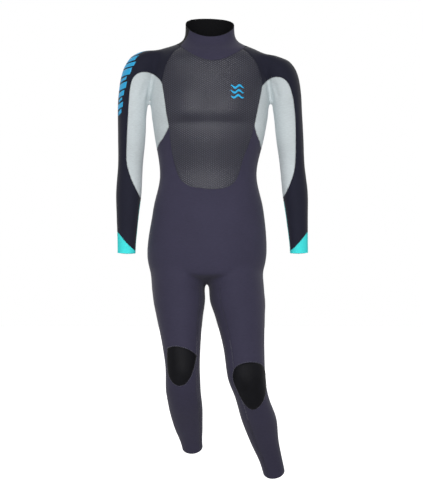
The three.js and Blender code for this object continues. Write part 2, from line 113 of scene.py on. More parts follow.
LEG_STATIONS = {
    "left": (
        (-0.590, 0.074, -0.008, 0.056, 0.060),
        (-0.645, 0.077, -0.009, 0.080, 0.092),
        (-0.695, 0.082, -0.012, 0.086, 0.102),
        (-0.745, 0.085, -0.028, 0.086, 0.094),
        (-0.800, 0.093, -0.050, 0.077, 0.084),
        (-0.900, 0.105, -0.100, 0.063, 0.066),
        (-0.985, 0.112, -0.136, 0.058, 0.060),
        (-1.050, 0.130, -0.112, 0.052, 0.062),
        (-1.105, 0.148, -0.078, 0.055, 0.062),
        (-1.185, 0.168, -0.036, 0.045, 0.048),
        (-1.262, 0.193, -0.002, 0.036, 0.037),
        (-1.350, 0.213, 0.034, 0.033, 0.035),
    ),
    "right": (
        (-0.590, -0.092, -0.008, 0.056, 0.060),
        (-0.645, -0.098, -0.008, 0.084, 0.092),
        (-0.695, -0.099, -0.010, 0.083, 0.102),
        (-0.745, -0.095, -0.022, 0.081, 0.092),
        (-0.800, -0.093, -0.040, 0.072, 0.082),
        (-0.890, -0.087, -0.078, 0.059, 0.066),
        (-0.965, -0.083, -0.104, 0.053, 0.059),
        (-1.020, -0.082, -0.088, 0.054, 0.060),
        (-1.070, -0.076, -0.062, 0.053, 0.060),
        (-1.140, -0.067, -0.016, 0.045, 0.048),
        (-1.205, -0.055, 0.024, 0.033, 0.036),
        (-1.290, -0.042, 0.066, 0.031, 0.034),
    ),
}

# Both forearms hang a little to the wearer's left: how far at the wrist, and what share of that
# at each height.
ARM_SWAY = 0.009
SWAY_HEIGHTS = (-0.604, -0.500, -0.410, -0.335, -0.250, -0.165)
SWAY_SHARES = (1.0, 0.85, 0.70, 0.50, 0.30, 0.0)

# ---------- where the suit is cut ----------
# The collar's rim at the throat, and how it climbs towards the nape, the sides and the wearer's right.
RIM_THROAT = (-0.058, 0.0605)
RIM_CLIMB = 0.525
RIM_SIDE_LIFT = 0.009
RIM_TILT = -0.03
# The collar's seam: a bow across the chest, and a slope from throat to nape.
SEAM_LOW = (0.010, -0.013)
SEAM_BOW = (0.060, 0.0175, 1.9)
SEAM_SLOPE = (-0.064, -0.010, 0.407)
# Planes as a point on them and the direction that points away from the suit's middle.
WRIST_MIDDLE = (0.266, -0.046, -0.604)
WRIST_ALONG = (0.03, 0.06, -1.0)
ANKLES = {
    "left": ((0.197, 0.004, -1.284), (0.24, 0.80, -1.0)),
    "right": ((-0.054, 0.030, -1.204), (0.17, 0.80, -1.0)),
}
# The line between sleeve and body: heights, and how far out it lies.
ARMHOLE_HEIGHTS = (-0.720, -0.700, -0.500, -0.230, 0.200)
ARMHOLE_OUT = (1.0, 0.212, 0.205, 0.187, 0.187)
LEG_TOP = -0.708
LEG_PARTING = -0.006
YOKE_LEVEL = -0.082
SEAT_LEVEL = -0.478
ZIP_HALF = 0.0165
ZIP_FOOT = -0.476
TAPE_TOP = 0.054

# Heights where each limb's stretches part; a joint bends the stretch between two of them.
SLEEVE_PARTINGS = (-0.280, -0.460)
LEG_PARTINGS = {"left": (-0.870, -1.115), "right": (-0.860, -1.050)}

# Body pairs and the heights between which the fabric turns from one to the other.
SHOULDER_BEND = (-0.172, -0.262)
ELBOW_BEND = (-0.300, -0.378)
HIP_BEND = {"left": (-0.708, -0.825), "right": (-0.708, -0.815)}
KNEE_BEND = {"left": (-0.925, -1.048), "right": (-0.905, -1.025)}

# Outlines are seen from the front, as x and height; a point given twice is a corner.
CHEST_OUTLINE = (
    (-0.080, 0.075), (-0.080, 0.075), (-0.090, 0.034), (-0.108, 0.019), (-0.121, 0.001),
    (-0.133, -0.021), (-0.143, -0.052), (-0.147, -0.082), (-0.143, -0.110), (-0.138, -0.145),
    (-0.134, -0.175), (-0.126, -0.218), (-0.118, -0.284), (-0.108, -0.331), (-0.097, -0.366),
    (-0.082, -0.386), (-0.057, -0.400), (-0.026, -0.405), (0.010, -0.408), (0.046, -0.404),
    (0.069, -0.392), (0.082, -0.377), (0.092, -0.351), (0.102, -0.315), (0.118, -0.275),
    (0.130, -0.239), (0.137, -0.214), (0.144, -0.180), (0.152, -0.140), (0.158, -0.110),
    (0.161, -0.084), (0.154, -0.046), (0.141, -0.016), (0.128, 0.001), (0.113, 0.017),
    (0.093, 0.033), (0.080, 0.075), (0.080, 0.075),
)
# The pale panel that runs from the ribs over the armpit and down the inside of the sleeve.
UNDERARM_OUTLINES = {
    "right": (
        (-0.118, -0.196), (-0.118, -0.196), (-0.124, -0.150), (-0.130, -0.104), (-0.130, -0.104),
        (-0.145, -0.086), (-0.157, -0.068), (-0.175, -0.053), (-0.195, -0.047), (-0.216, -0.049),
        (-0.232, -0.059), (-0.242, -0.077), (-0.248, -0.112), (-0.253, -0.185), (-0.257, -0.266),
        (-0.258, -0.317), (-0.252, -0.348), (-0.239, -0.384), (-0.213, -0.436), (-0.213, -0.436),
        (-0.190, -0.440), (-0.184, -0.330), (-0.176, -0.300), (-0.163, -0.282), (-0.157, -0.268),
        (-0.144, -0.250), (-0.127, -0.219),
    ),
    "left": (
        (0.128, -0.192), (0.128, -0.192), (0.136, -0.150), (0.148, -0.104), (0.148, -0.104),
        (0.163, -0.088), (0.177, -0.072), (0.195, -0.063), (0.216, -0.063), (0.233, -0.072),
        (0.246, -0.090), (0.256, -0.123), (0.262, -0.164), (0.265, -0.215), (0.265, -0.291),
        (0.263, -0.333), (0.257, -0.364), (0.241, -0.405), (0.221, -0.443), (0.221, -0.443),
        (0.196, -0.445), (0.190, -0.330), (0.178, -0.302), (0.160, -0.283), (0.154, -0.262),
        (0.144, -0.238), (0.137, -0.214),
    ),
}
KNEE_PAD_OUTLINES = {
    "right": (
        (-0.131, -0.894), (-0.131, -0.894), (-0.110, -0.889), (-0.085, -0.891), (-0.058, -0.902),
        (-0.039, -0.917), (-0.039, -0.917), (-0.046, -0.946), (-0.053, -0.970), (-0.064, -0.991),
        (-0.079, -1.006), (-0.097, -1.009), (-0.116, -0.997), (-0.128, -0.973), (-0.132, -0.930),
    ),
    "left": (
        (0.069, -0.972), (0.078, -0.951), (0.100, -0.939), (0.131, -0.936), (0.158, -0.943),
        (0.168, -0.963), (0.172, -0.997), (0.171, -1.027), (0.164, -1.052), (0.149, -1.073),
        (0.131, -1.082), (0.113, -1.073), (0.097, -1.052), (0.082, -1.021), (0.071, -0.994),
    ),
}
# How far out on the leg the inner-leg seam runs, as a share of the leg's half width.
INNER_SEAM_SHARE = {"left": 0.62, "right": 0.80}


# ---------- sizes and colours ----------
def length(name, description, default):
    """A size in metres, shown in the add-on's panel."""
    return FloatProperty(name=name, description=description, default=default, unit="LENGTH")


def swatch(name, description, default):
    """A linear colour, shown in the add-on's panel."""
    return FloatVectorProperty(
        name=name, description=description, default=default, subtype="COLOR", size=3
    )


class WetsuitSizes(bpy.types.PropertyGroup):
    """Sizes that can be changed without changing the pattern of the suit."""

    wall: length("Wall", "Thickness of the neoprene", 0.004)
    grid: length("Grid", "Size of the body surface's faces", 0.0045)
    seam_depth: length("Seam depth", "How deep a seam pulls the fabric in", 0.0008)
    pad_rise: length("Pad rise", "How far a knee pad stands proud", 0.0022)
    stitch_pitch: length("Stitch pitch", "Distance from stitch to stitch", 0.0030)
    stitch_width: length("Stitch width", "How far a stitch reaches across its seam", 0.0046)
    thread: length("Thread", "Radius of the sewing thread", 0.00026)
    tooth_pitch: length("Tooth pitch", "Distance from zip tooth to zip tooth", 0.0030)


class WetsuitColours(bpy.types.PropertyGroup):
    """Linear colours of the suit's materials."""

    navy: swatch("Navy", "Body and leg neoprene", (0.045, 0.041, 0.075))
    dark: swatch("Dark", "Shoulder and sleeve neoprene", (0.015, 0.0155, 0.030))
    chest: swatch("Chest", "Textured skin of the chest panel", (0.038, 0.038, 0.057))
    pale: swatch("Pale", "Underarm neoprene", (0.63, 0.69, 0.71))
    cuff: swatch("Cuff", "Bright cuff neoprene", (0.07, 1.0, 1.0))
    rubber: swatch("Rubber", "Knee pads and collar closure", (0.0055, 0.0055, 0.0075))
    lining: swatch("Lining", "Inside of the suit", (0.006, 0.006, 0.007))
    thread: swatch("Thread", "Sewing thread", (0.030, 0.030, 0.042))
    pad_thread: swatch("Knee thread", "Sewing thread on the knees", (0.16, 0.16, 0.19))
    print_blue: swatch("Print", "Printed marks", (0.025, 0.50, 0.95))


# ---------- node materials ----------
class Tree:
    """Adds nodes to a node tree and joins them up."""

    def __init__(self, tree):
        self.tree = tree

    def add(self, kind, links=None, values=None, **settings):
        """A new node with its settings, its plain values and the outputs linked into it."""
        node = self.tree.nodes.new(kind)
        for key, value in settings.items():
            setattr(node, key, value)
        for key, value in (values or {}).items():
            node.inputs[key].default_value = value
        for key, source in (links or {}).items():
            self.tree.links.new(source, node.inputs[key])
        return node

    def output(self, kind, *values, **settings):
        """The first output of a node whose inputs, in order, are numbers or other outputs."""
        node = self.add(kind, **settings)
        for socket, value in zip(node.inputs, values):
            if isinstance(value, (int, float)):
                socket.default_value = value
            else:
                self.tree.links.new(value, socket)
        return node.outputs[0]

    def math(self, operation, *values):
        return self.output("ShaderNodeMath", *values, operation=operation)

    def vector(self, x, y, z):
        return self.output("ShaderNodeCombineXYZ", x, y, z)


class Finish(Tree):
    """The nodes of one material."""

    def __init__(self, name):
        self.material = bpy.data.materials.new(name)
        self.material.use_nodes = True
        super().__init__(self.material.node_tree)
        self.surface = self.tree.nodes["Principled BSDF"].inputs
        self.place = self.add("ShaderNodeTexCoord").outputs["Object"]

    def noise(self, scale, detail=3.0, stretch=(1.0, 1.0, 1.0)):
        mapping = self.add("ShaderNodeMapping", {"Vector": self.place}, {"Scale": stretch})
        node = self.add(
            "ShaderNodeTexNoise", {"Vector": mapping.outputs["Vector"]}, {"Scale": scale, "Detail": detail}
        )
        return node.outputs["Fac"]

    def ripple(self, pitch, x, z):
        """A cosine ripple in x and z: its crests lie a pitch apart along a direction of length one."""
        turn = 2.0 * math.pi / pitch
        dot = self.add("ShaderNodeVectorMath", operation="DOT_PRODUCT")
        dot.inputs[1].default_value = (turn * x, 0.0, turn * z)
        self.tree.links.new(self.place, dot.inputs[0])
        return self.math("COSINE", dot.outputs["Value"])

    def mixed(self, *parts):
        """The sum of several outputs, each times its share."""
        total = None
        for source, share in parts:
            part = self.math("MULTIPLY", source, share)
            total = part if total is None else self.math("ADD", total, part)
        return total

    def shade(self, factor, tones):
        """A colour that runs from a dark to a light tone with a factor."""
        ramp = self.add("ShaderNodeValToRGB", {"Fac": factor})
        for stop, position, tone in zip(ramp.color_ramp.elements, (0.25, 0.75), tones):
            stop.position = position
            stop.color = (*tone, 1.0)
        self.tree.links.new(ramp.outputs["Color"], self.surface["Base Color"])

    def rough(self, factor, low, high):
        spread = self.add("ShaderNodeMapRange", {"Value": factor}, {"To Min": low, "To Max": high})
        self.tree.links.new(spread.outputs["Result"], self.surface["Roughness"])

    def bump(self, height, strength, distance):
        node = self.add("ShaderNodeBump", {"Height": height}, {"Strength": strength, "Distance": distance})
        self.tree.links.new(node.outputs["Normal"], self.surface["Normal"])

    def give(self, **values):
        """Sets plain values of the surface; a space in a label is written as an underscore."""
        for label, value in values.items():
            self.surface[label.replace("_", " ")].default_value = value


def toned(colour, low, high):
    """A darker and a lighter version of a colour."""
    return [tuple(min(1.0, channel * factor) for channel in colour) for factor in (low, high)]


def knit_neoprene(name, colour, sheen=0.12):
    """Jersey-faced neoprene: a fine knit, faint streaks along the courses and a soft nap."""
    made = Finish(name)
    loops = made.noise(1500.0, 2.0, (1.0, 1.0, 1.6))
    courses = made.noise(90.0, 3.0, (1.0, 1.0, 9.0))
    cloud = made.noise(9.0, 2.0)
    made.shade(made.mixed((loops, 0.35), (courses, 0.40), (cloud, 0.25)), toned(colour, 0.78, 1.24))
    made.rough(loops, 0.66, 0.86)
    made.bump(made.mixed((loops, 1.0), (courses, 0.4)), 0.35, 0.0004)
    made.give(Sheen_Weight=sheen, Sheen_Roughness=0.5, Specular_IOR_Level=0.16)
    return made.material


CELL_PITCH = 0.0056


def mesh_skin(name, colour):
    """The chest's embossed skin: small raised cells in a honeycomb, with a satin face; its colour is painted
    lighter on the cells' crests and darker in the hollows between them, a painted highlight and shade.
    """
    made = Finish(name)
    ripples = [
        made.ripple(CELL_PITCH, math.cos(angle), math.sin(angle))
        for angle in (0.0, math.pi / 3.0, 2.0 * math.pi / 3.0)
    ]
    lowest = -1.5
    span = 4.5
    cells = made.math("ADD", made.math("ADD", ripples[0], ripples[1]), ripples[2])
    cells = made.math("MULTIPLY", made.math("ADD", cells, -lowest), 1.0 / span)
    cloud = made.noise(14.0, 2.0)
    # Painted highlight and shade: the cells' height makes their crests lighter and the hollows darker; the
    # cloud is the skin's own uneven tone.
    made.shade(made.mixed((cells, 0.85), (cloud, 0.25)), toned(colour, 0.62, 1.5))
    made.rough(cells, 0.52, 0.36)
    made.bump(cells, 0.8, 0.0011)
    made.give(Specular_IOR_Level=0.55, Coat_Weight=0.05, Coat_Roughness=0.4)
    return made.material


RIB_PITCH = 0.0034


def smooth_rubber(name, colour):
    """Hard-wearing rubberised face with fine ribs."""
    made = Finish(name)
    ribs = made.math("ADD", made.ripple(RIB_PITCH, 1.0, 1.0), made.ripple(RIB_PITCH, 1.0, -1.0))
    ribs = made.math("MULTIPLY", made.math("ADD", ribs, 2.0), 0.25)
    wear = made.noise(38.0, 4.0)
    made.shade(made.mixed((ribs, 0.4), (wear, 0.6)), toned(colour, 0.6, 1.7))
    made.rough(wear, 0.48, 0.66)
    made.bump(ribs, 0.5, 0.0005)
    made.give(Specular_IOR_Level=0.15)
    return made.material


WEAVE_PITCH = 0.0016


def zip_tape(name):
    """Woven polyester tape with a diagonal rib."""
    made = Finish(name)
    weave = made.math(
        "MULTIPLY", made.ripple(WEAVE_PITCH, 1.0, 0.6), made.ripple(WEAVE_PITCH, 0.4, -1.0)
    )
    tone = made.math("ADD", made.math("MULTIPLY", weave, 0.3), 0.5)
    made.shade(tone, ((0.006, 0.006, 0.008), (0.022, 0.022, 0.027)))
    made.rough(tone, 0.7, 0.85)
    made.bump(weave, 0.5, 0.0003)
    return made.material


def grained(name, grain, tones, roughness, relief=None, **values):
    """A finish whose one grain sets its tone, its roughness and its relief."""
    made = Finish(name)
    factor = made.noise(*grain)
    made.shade(factor, tones)
    made.rough(factor, *roughness)
    if relief:
        made.bump(factor, *relief)
    made.give(**values)
    return made.material


def lining(name, colour):
    """The dark, close-cropped inside face."""
    tones = toned(colour, 0.6, 1.8)
    return grained(name, (900.0, 4.0), tones, (0.75, 0.95), (0.4, 0.0004), Specular_IOR_Level=0.12)


def sewing_thread(name, colour):
    """Twisted polyester thread."""
    return grained(name, (2600.0, 2.0), toned(colour, 0.6, 1.5), (0.45, 0.65), Sheen_Weight=0.2)


def screen_print(name, colour):
    """A thin layer of rubbery ink that still shows the fabric under it."""
    return grained(name, (700.0, 3.0), toned(colour, 0.82, 1.12), (0.42, 0.6), (0.25, 0.0003))


def moulded_plastic(name):
    """Black plastic with a faint grain."""
    tones = toned((0.012, 0.012, 0.015), 0.7, 1.5)
    return grained(name, (420.0, 3.0), tones, (0.28, 0.42), (0.12, 0.0002))


def brushed_metal(name):
    """Grey metal brushed along one direction."""
    grain = (260.0, 4.0, (1.0, 1.0, 7.0))
    tones = ((0.10, 0.10, 0.11), (0.24, 0.24, 0.25))
    return grained(name, grain, tones, (0.30, 0.48), (0.2, 0.0001), Metallic=1.0)


# Where the paper far behind the suit begins to glow, where its glow is full, and how strong it is.
GLOW_START = 2.0
GLOW_END = 6.0
GLOW_STRENGTH = 0.92


def studio_paper(name):
    """Pale paper that glows far behind the suit, so that it meets the backdrop without an edge."""
    made = Finish(name)
    fibre = made.noise(30.0, 3.0)
    made.shade(fibre, ((0.86, 0.86, 0.86), (0.90, 0.90, 0.90)))
    made.rough(fibre, 0.85, 0.95)
    made.give(Emission_Color=(1.0, 1.0, 1.0, 1.0))
    split = made.add("ShaderNodeSeparateXYZ", {"Vector": made.place})
    glow = made.add(
        "ShaderNodeMapRange",
        {"Value": split.outputs["Y"]},
        {"From Min": GLOW_START, "From Max": GLOW_END, "To Max": GLOW_STRENGTH},
        interpolation_type="SMOOTHSTEP",
    )
    made.tree.links.new(glow.outputs["Result"], made.surface["Emission Strength"])
    return made.material


# What makes each material, the colour it takes, and a sheen where it differs from the knit's own.
MAKERS = {
    "navy_neoprene": (knit_neoprene, "navy"),
    "dark_neoprene": (knit_neoprene, "dark"),
    "grey_neoprene": (knit_neoprene, "pale", 0.05),
    "cyan_neoprene": (knit_neoprene, "cuff", 0.0),
    "mesh_skin": (mesh_skin, "chest"),
    "knee_rubber": (smooth_rubber, "rubber"),
    "lining": (lining, "lining"),
    "thread": (sewing_thread, "thread"),
    "pad_thread": (sewing_thread, "pad_thread"),
    "print_ink": (screen_print, "print_blue"),
    "zip_tape": (zip_tape, None),
    "zip_plastic": (moulded_plastic, None),
    "zip_metal": (brushed_metal, None),
    "studio_paper": (studio_paper, None),
}
FINISHES = {}


def finish(name):
    """The named material, made the first time it is asked for."""
    if name not in FINISHES:
        maker, key, *sheen = MAKERS[name]
        colour = [tuple(getattr(bpy.context.scene.wetsuit_colours, key))] if key else []
        FINISHES[name] = maker(name, *colour, *sheen)
    return FINISHES[name]


# ---------- curves and fields ----------
def cubic(start, leave, end, arrive, t):
    """A curve from start to end with a slope for leaving and one for arriving."""
    return (
        start * (1 + 2 * t) * (1 - t) ** 2
        + leave * t * (1 - t) ** 2
        + end * t * t * (3 - 2 * t)
        + arrive * t * t * (t - 1)
    )


def steady_curve(knots, values, at):
    """Values at new knots along a curve that passes through the given ones and never overshoots."""
    knots = np.asarray(knots, float)
    values = np.asarray(values, float)
    steps = np.diff(knots)
    slopes = np.diff(values) / steps
    tangents = np.zeros_like(values)
    tangents[0] = slopes[0]
    tangents[-1] = slopes[-1]
    for i in range(1, len(values) - 1):
        if slopes[i - 1] * slopes[i] > 0:
            before = 2 * steps[i] + steps[i - 1]
            after = steps[i] + 2 * steps[i - 1]
            tangents[i] = (before + after) / (before / slopes[i - 1] + after / slopes[i])
    at = np.asarray(at, float)
    span = np.clip(np.searchsorted(knots, at, side="right") - 1, 0, len(steps) - 1)
    width = steps[span]
    t = np.clip((at - knots[span]) / width, 0.0, 1.0)
    return cubic(values[span], tangents[span] * width, values[span + 1], tangents[span + 1] * width, t)


def section_at(stations, heights):
    """Middle x, middle y, half width and half depth of a limb at some heights."""
    table = np.array(stations, float)[::-1]
    return [steady_curve(table[:, 0], table[:, column], heights) for column in (1, 2, 3, 4)]


def arm_stations(side):
    """The stations of one arm, swayed sideways towards the wrist."""
    return [
        (z, side * x + ARM_SWAY * float(np.interp(z, SWAY_HEIGHTS, SWAY_SHARES)), y, wide, deep)
        for z, x, y, wide, deep in ARM_STATIONS
    ]


def flowing_outline(points, steps=10):
    """A closed smooth curve through points; a point given twice makes a corner."""
    loop = np.array(points, float)
    count = len(loop)
    t = (np.arange(steps) / steps)[:, None]
    pieces = []
    for i in range(count):
        start, end = loop[i], loop[(i + 1) % count]
        if np.allclose(start, end):
            continue
        leave = 0.5 * (end - loop[i - 1])
        arrive = 0.5 * (loop[(i + 2) % count] - start)
        pieces.append(cubic(start, leave, end, arrive, t))
    return np.concatenate(pieces)


def outline_distance(points, outline):
    """Distance from an outline in x and height: below zero inside it."""
    x = points[:, 0]
    z = points[:, 2]
    nearest = np.full(len(points), np.inf)
    inside = np.zeros(len(points), bool)
    following = np.roll(outline, -1, axis=0)
    for (ax, az), (bx, bz) in zip(outline, following):
        ex, ez = bx - ax, bz - az
        t = np.clip(((x - ax) * ex + (z - az) * ez) / (ex * ex + ez * ez), 0.0, 1.0)
        nearest = np.minimum(nearest, (x - ax - t * ex) ** 2 + (z - az - t * ez) ** 2)
        if az != bz:
            crosses = ((az > z) != (bz > z)) & (x < ax + (z - az) * ex / ez)
            inside ^= crosses
    distance = np.sqrt(nearest)
    return np.where(inside, -distance, distance)


def above(points, plane):
    """Height over a plane given by a point and a direction."""
    through, along = (np.array(v, float) for v in plane)
    return (points - through) @ (along / np.linalg.norm(along))


def hump(points, middle, reach):
    """A soft hump, one at its middle, with its own reach along x, y and z."""
    away = (points - np.array(middle)) / np.array(reach)
    return np.exp(-0.5 * (away ** 2).sum(axis=1))


# A furrow keeps its full depth over this share to each side of its middle, then fades.
FURROW_FULL = 0.32
FURROW_FADE = 0.12


def furrow(points, start, end, width):
    """One along a line seen from the front, fading over a width to each side and at both ends."""
    start, end = np.array(start), np.array(end)
    along = end - start
    length_along = np.linalg.norm(along)
    flat = points[:, (0, 2)] - start
    t = flat @ along / length_along ** 2
    across = flat @ np.array((-along[1], along[0])) / length_along
    fade = np.exp(-0.5 * (np.clip(np.abs(t - 0.5) - FURROW_FULL, 0, None) / FURROW_FADE) ** 2)
    return np.exp(-0.5 * (across / width) ** 2) * fade


# ---------- the body's surface ----------
LOFT_SIDES = 96
LOFT_STEP = 0.004


def loft(stations):
    """A closed tube through the stations, as points and triangles that face out."""
    heights = np.append(np.arange(stations[0][0], stations[-1][0], -LOFT_STEP), stations[-1][0])
    x, y, wide, deep = section_at(stations, heights)
    turn = np.arange(LOFT_SIDES) * 2 * math.pi / LOFT_SIDES
    rings = np.stack(
        (
            x[:, None] + wide[:, None] * np.cos(turn),
            y[:, None] + deep[:, None] * np.sin(turn),
            np.repeat(heights[:, None], LOFT_SIDES, axis=1),
        ),
        axis=-1,
    ).reshape(-1, 3)
    count = len(heights)
    top = count * LOFT_SIDES
    points = np.concatenate((rings, [[x[0], y[0], heights[0]], [x[-1], y[-1], heights[-1]]]))
    first = np.arange(LOFT_SIDES)
    following = (first + 1) % LOFT_SIDES
    row_starts = np.arange(count - 1)[:, None] * LOFT_SIDES
    upper = (row_starts + first).ravel()
    beside = (row_starts + following).ravel()
    lower, lower_beside = upper + LOFT_SIDES, beside + LOFT_SIDES
    last = (count - 1) * LOFT_SIDES
    triangles = np.concatenate(
        (
            np.stack((upper, lower, beside), 1),
            np.stack((beside, lower, lower_beside), 1),
            np.stack((first, following, np.full(LOFT_SIDES, top)), 1),
            np.stack((last + following, last + first, np.full(LOFT_SIDES, top + 1)), 1),
        )
    )
    return points, triangles


def mesh_from(name, points, faces):
    mesh = bpy.data.meshes.new(name)
    mesh.from_pydata(np.asarray(points).tolist(), [], np.asarray(faces).tolist())
    mesh.update()
    return mesh


def linked(name, data):
    """A new object in the scene with a mesh, a light or a camera."""
    thing = bpy.data.objects.new(name, data)
    bpy.context.scene.collection.objects.link(thing)
    return thing


def evaluated_mesh(thing):
    """A plain mesh of an object as its modifiers leave it."""
    bpy.context.view_layer.update()
    graph = bpy.context.evaluated_depsgraph_get()
    return bpy.data.meshes.new_from_object(thing.evaluated_get(graph))


def joined_skin(grid):
    """Trunk, arms and legs joined into one even skin of triangles."""
    tubes = [loft(TORSO_STATIONS)]
    for name, side in SIDES:
        tubes.append(loft(arm_stations(side)))
        tubes.append(loft(LEG_STATIONS[name]))
    points, triangles, start = [], [], 0
    for tube_points, tube_triangles in tubes:
        points.append(tube_points)
        triangles.append(tube_triangles + start)
        start += len(tube_points)
    thing = linked("skin", mesh_from("skin", np.concatenate(points), np.concatenate(triangles)))
    remesh = thing.modifiers.new("even", "REMESH")
    remesh.mode = "VOXEL"
    remesh.voxel_size = grid
    mesh = evaluated_mesh(thing)
    bpy.data.objects.remove(thing)
    mesh.calc_loop_triangles()
    skin = np.zeros(len(mesh.vertices) * 3)
    mesh.vertices.foreach_get("co", skin)
    corners = np.zeros(len(mesh.loop_triangles) * 3, np.int64)
    mesh.loop_triangles.foreach_get("vertices", corners)
    bpy.data.meshes.remove(mesh)
    return skin.reshape(-1, 3), corners.reshape(-1, 3)


def sides_of(triangles):
    """The three directed sides of every triangle."""
    return np.concatenate((triangles[:, (0, 1)], triangles[:, (1, 2)], triangles[:, (2, 0)]))


def edges_of(triangles):
    return np.unique(np.sort(sides_of(triangles), axis=1), axis=0)


def neighbour_mean(points, edges, count):
    total = np.zeros_like(points)
    for column in range(3):
        total[:, column] = np.bincount(edges[:, 0], points[edges[:, 1], column], len(points))
        total[:, column] += np.bincount(edges[:, 1], points[edges[:, 0], column], len(points))
    return total / count[:, None]


def relax(points, triangles, weight, rounds):
    """Draws each point towards its neighbours by its weight."""
    edges = edges_of(triangles)
    count = np.bincount(edges.ravel(), minlength=len(points)).astype(float)
    for _ in range(rounds):
        points = points + weight[:, None] * (neighbour_mean(points, edges, count) - points)
    return points


def point_normals(points, triangles):
    a, b, c = (points[triangles[:, i]] for i in range(3))
    face = np.cross(b - a, c - a)
    normals = np.zeros_like(points)
    for corner in range(3):
        for column in range(3):
            normals[:, column] += np.bincount(triangles[:, corner], face[:, column], len(points))
    return normals / np.maximum(np.linalg.norm(normals, axis=1), 1e-12)[:, None]


def on_both_sides(*rows):
    """Rows that end in a middle and a reach, for the wearer's right and then for the left."""
    return tuple(
        (*row[:-2], (side * row[-2][0], *row[-2][1:]), row[-1]) for side in (-1, 1) for row in rows
    )


# Muscles and hollows under the fabric: the face they show on, how far out, middle and reach.
SWELLINGS = on_both_sides(
    ("front", 0.0120, (0.070, -0.10, -0.130), (0.042, 0.08, 0.040)),
    ("front", 0.0058, (0.062, -0.10, -0.172), (0.042, 0.08, 0.018)),
    ("front", 0.0030, (0.110, 0.0, -0.010), (0.045, 0.10, 0.016)),
    ("back", 0.0055, (0.092, 0.08, -0.130), (0.040, 0.06, 0.050)),
    ("back", 0.0150, (0.082, 0.10, -0.610), (0.052, 0.07, 0.052)),
    ("back", 0.0030, (0.060, 0.10, -0.360), (0.026, 0.05, 0.110)),
) + (
    ("front", -0.0040, (0.0, -0.10, -0.130), (0.011, 0.08, 0.055)),
    ("front", -0.0072, (-0.075, -0.10, -0.204), (0.052, 0.08, 0.0110)),
    ("front", -0.0072, (0.080, -0.10, -0.204), (0.052, 0.08, 0.0110)),
    ("front", 0.0030, (0.0, -0.10, -0.290), (0.060, 0.08, 0.050)),
    ("front", -0.0020, (0.0, -0.10, -0.300), (0.008, 0.08, 0.080)),
    ("front", 0.0040, (0.0, -0.11, -0.470), (0.080, 0.08, 0.060)),
    ("back", -0.0080, (-0.008, 0.10, -0.630), (0.012, 0.08, 0.055)),
)
# Creases on both sides: the face they show on, how far out, start, end and width.
ARMPIT_CREASES = (
    ("front", -0.0060, (0.176, -0.050), (0.193, -0.150), 0.0045),
    ("front", 0.0028, (0.164, -0.060), (0.180, -0.150), 0.0060),
    ("front", -0.0030, (0.196, -0.078), (0.214, -0.130), 0.0040),
    ("back", -0.0050, (0.178, -0.060), (0.192, -0.150), 0.0060),
)
CROTCH_CREASES = (
    ("front", -0.0016, (0.020, -0.700), (0.085, -0.655), 0.0060),
    ("front", -0.0012, (0.022, -0.722), (0.090, -0.705), 0.0060),
    ("back", -0.0030, (0.030, -0.690), (0.130, -0.672), 0.0070),
)
ARMPIT_X = 0.190
ARMPIT_REACH = 0.035
ELBOW_REACH = (0.030, 0.020, 0.0045)
KNEE_REACH = (0.034, 0.024, 0.0040)
# Fine creases in the crook of the elbows and down the front of the knees: how far out, middle, reach.
FINE_CREASES = on_both_sides(
    (-0.0012, (0.245, -0.040, -0.312), ELBOW_REACH),
    (-0.0016, (0.245, -0.040, -0.332), ELBOW_REACH),
    (-0.0012, (0.245, -0.040, -0.350), ELBOW_REACH),
) + tuple(
    (-0.0022, (x, y + 0.012 * abs(step), z - 0.015 * step), KNEE_REACH)
    for x, y, z in ((0.118, -0.070, -0.995), (-0.083, -0.042, -0.975))
    for step in range(-3, 4)
)
# Where trunk and limbs meet, the skin is drawn smooth: how strongly, middle and reach.
SMOOTHED = on_both_sides(
    (1.0, (0.186, 0.0, -0.145), (0.020, 0.09, 0.050)),
    (1.0, (0.165, 0.0, 0.012), (0.035, 0.10, 0.030)),
    (0.8, (0.184, 0.0, -0.070), (0.020, 0.11, 0.060)),
    (0.7, (0.090, 0.0, 0.045), (0.030, 0.10, 0.020)),
) + (
    (0.35, (-0.007, 0.0, -0.700), (0.040, 0.11, 0.020)),
    (0.7, (0.150, 0.0, -0.690), (0.050, 0.11, 0.035)),
    (0.7, (-0.170, 0.0, -0.690), (0.050, 0.11, 0.035)),
)
# How far each shoulder's point is let down or drawn up, middle and reach.
SHOULDER_SHIFTS = (
    (-0.010, (0.212, 0.0, 0.000), (0.045, 0.14, 0.040)),
    (0.006, (-0.205, 0.0, 0.000), (0.045, 0.14, 0.040)),
)
# The relief leaves a strip along the zip flat: half its width, and how softly it ends.
ZIP_FLAT_HALF = 0.022
ZIP_FLAT_FADE = 0.012
# Rounds of smoothing: over the whole skin at first and at last, and at the places named above.
FIRST_ROUNDS = 4
LOCAL_ROUNDS = 45
LAST_ROUNDS = 2


def body_relief(points):
    """How far each point stands out or in over the muscles under the fabric."""
    y = points[:, 1]
    shown = {"front": np.clip(-y / 0.03, 0, 1), "back": np.clip(y / 0.03, 0, 1)}
    rise = np.zeros(len(points))
    for face, height, middle, reach in SWELLINGS:
        rise += shown[face] * height * hump(points, middle, reach)
    return rise


def fold_relief(points):
    """Creases where the fabric gathers at the armpits, the crotch, the elbows and the knees."""
    x, y, _ = points.T
    shown = {"front": np.clip(0.5 - y / 0.05, 0, 1), "back": np.clip(0.5 + y / 0.05, 0, 1)}
    rise = np.zeros(len(points))
    for side in (-1, 1):
        near = np.exp(-0.5 * ((side * x - ARMPIT_X) / ARMPIT_REACH) ** 2)
        for creases, weight in ((ARMPIT_CREASES, near), (CROTCH_CREASES, 1.0)):
            for face, height, (start_x, start_z), (end_x, end_z), width in creases:
                line = furrow(points, (side * start_x, start_z), (side * end_x, end_z), width)
                rise += shown[face] * weight * height * line
    for height, middle, reach in FINE_CREASES:
        rise += height * hump(points, middle, reach)
    return rise


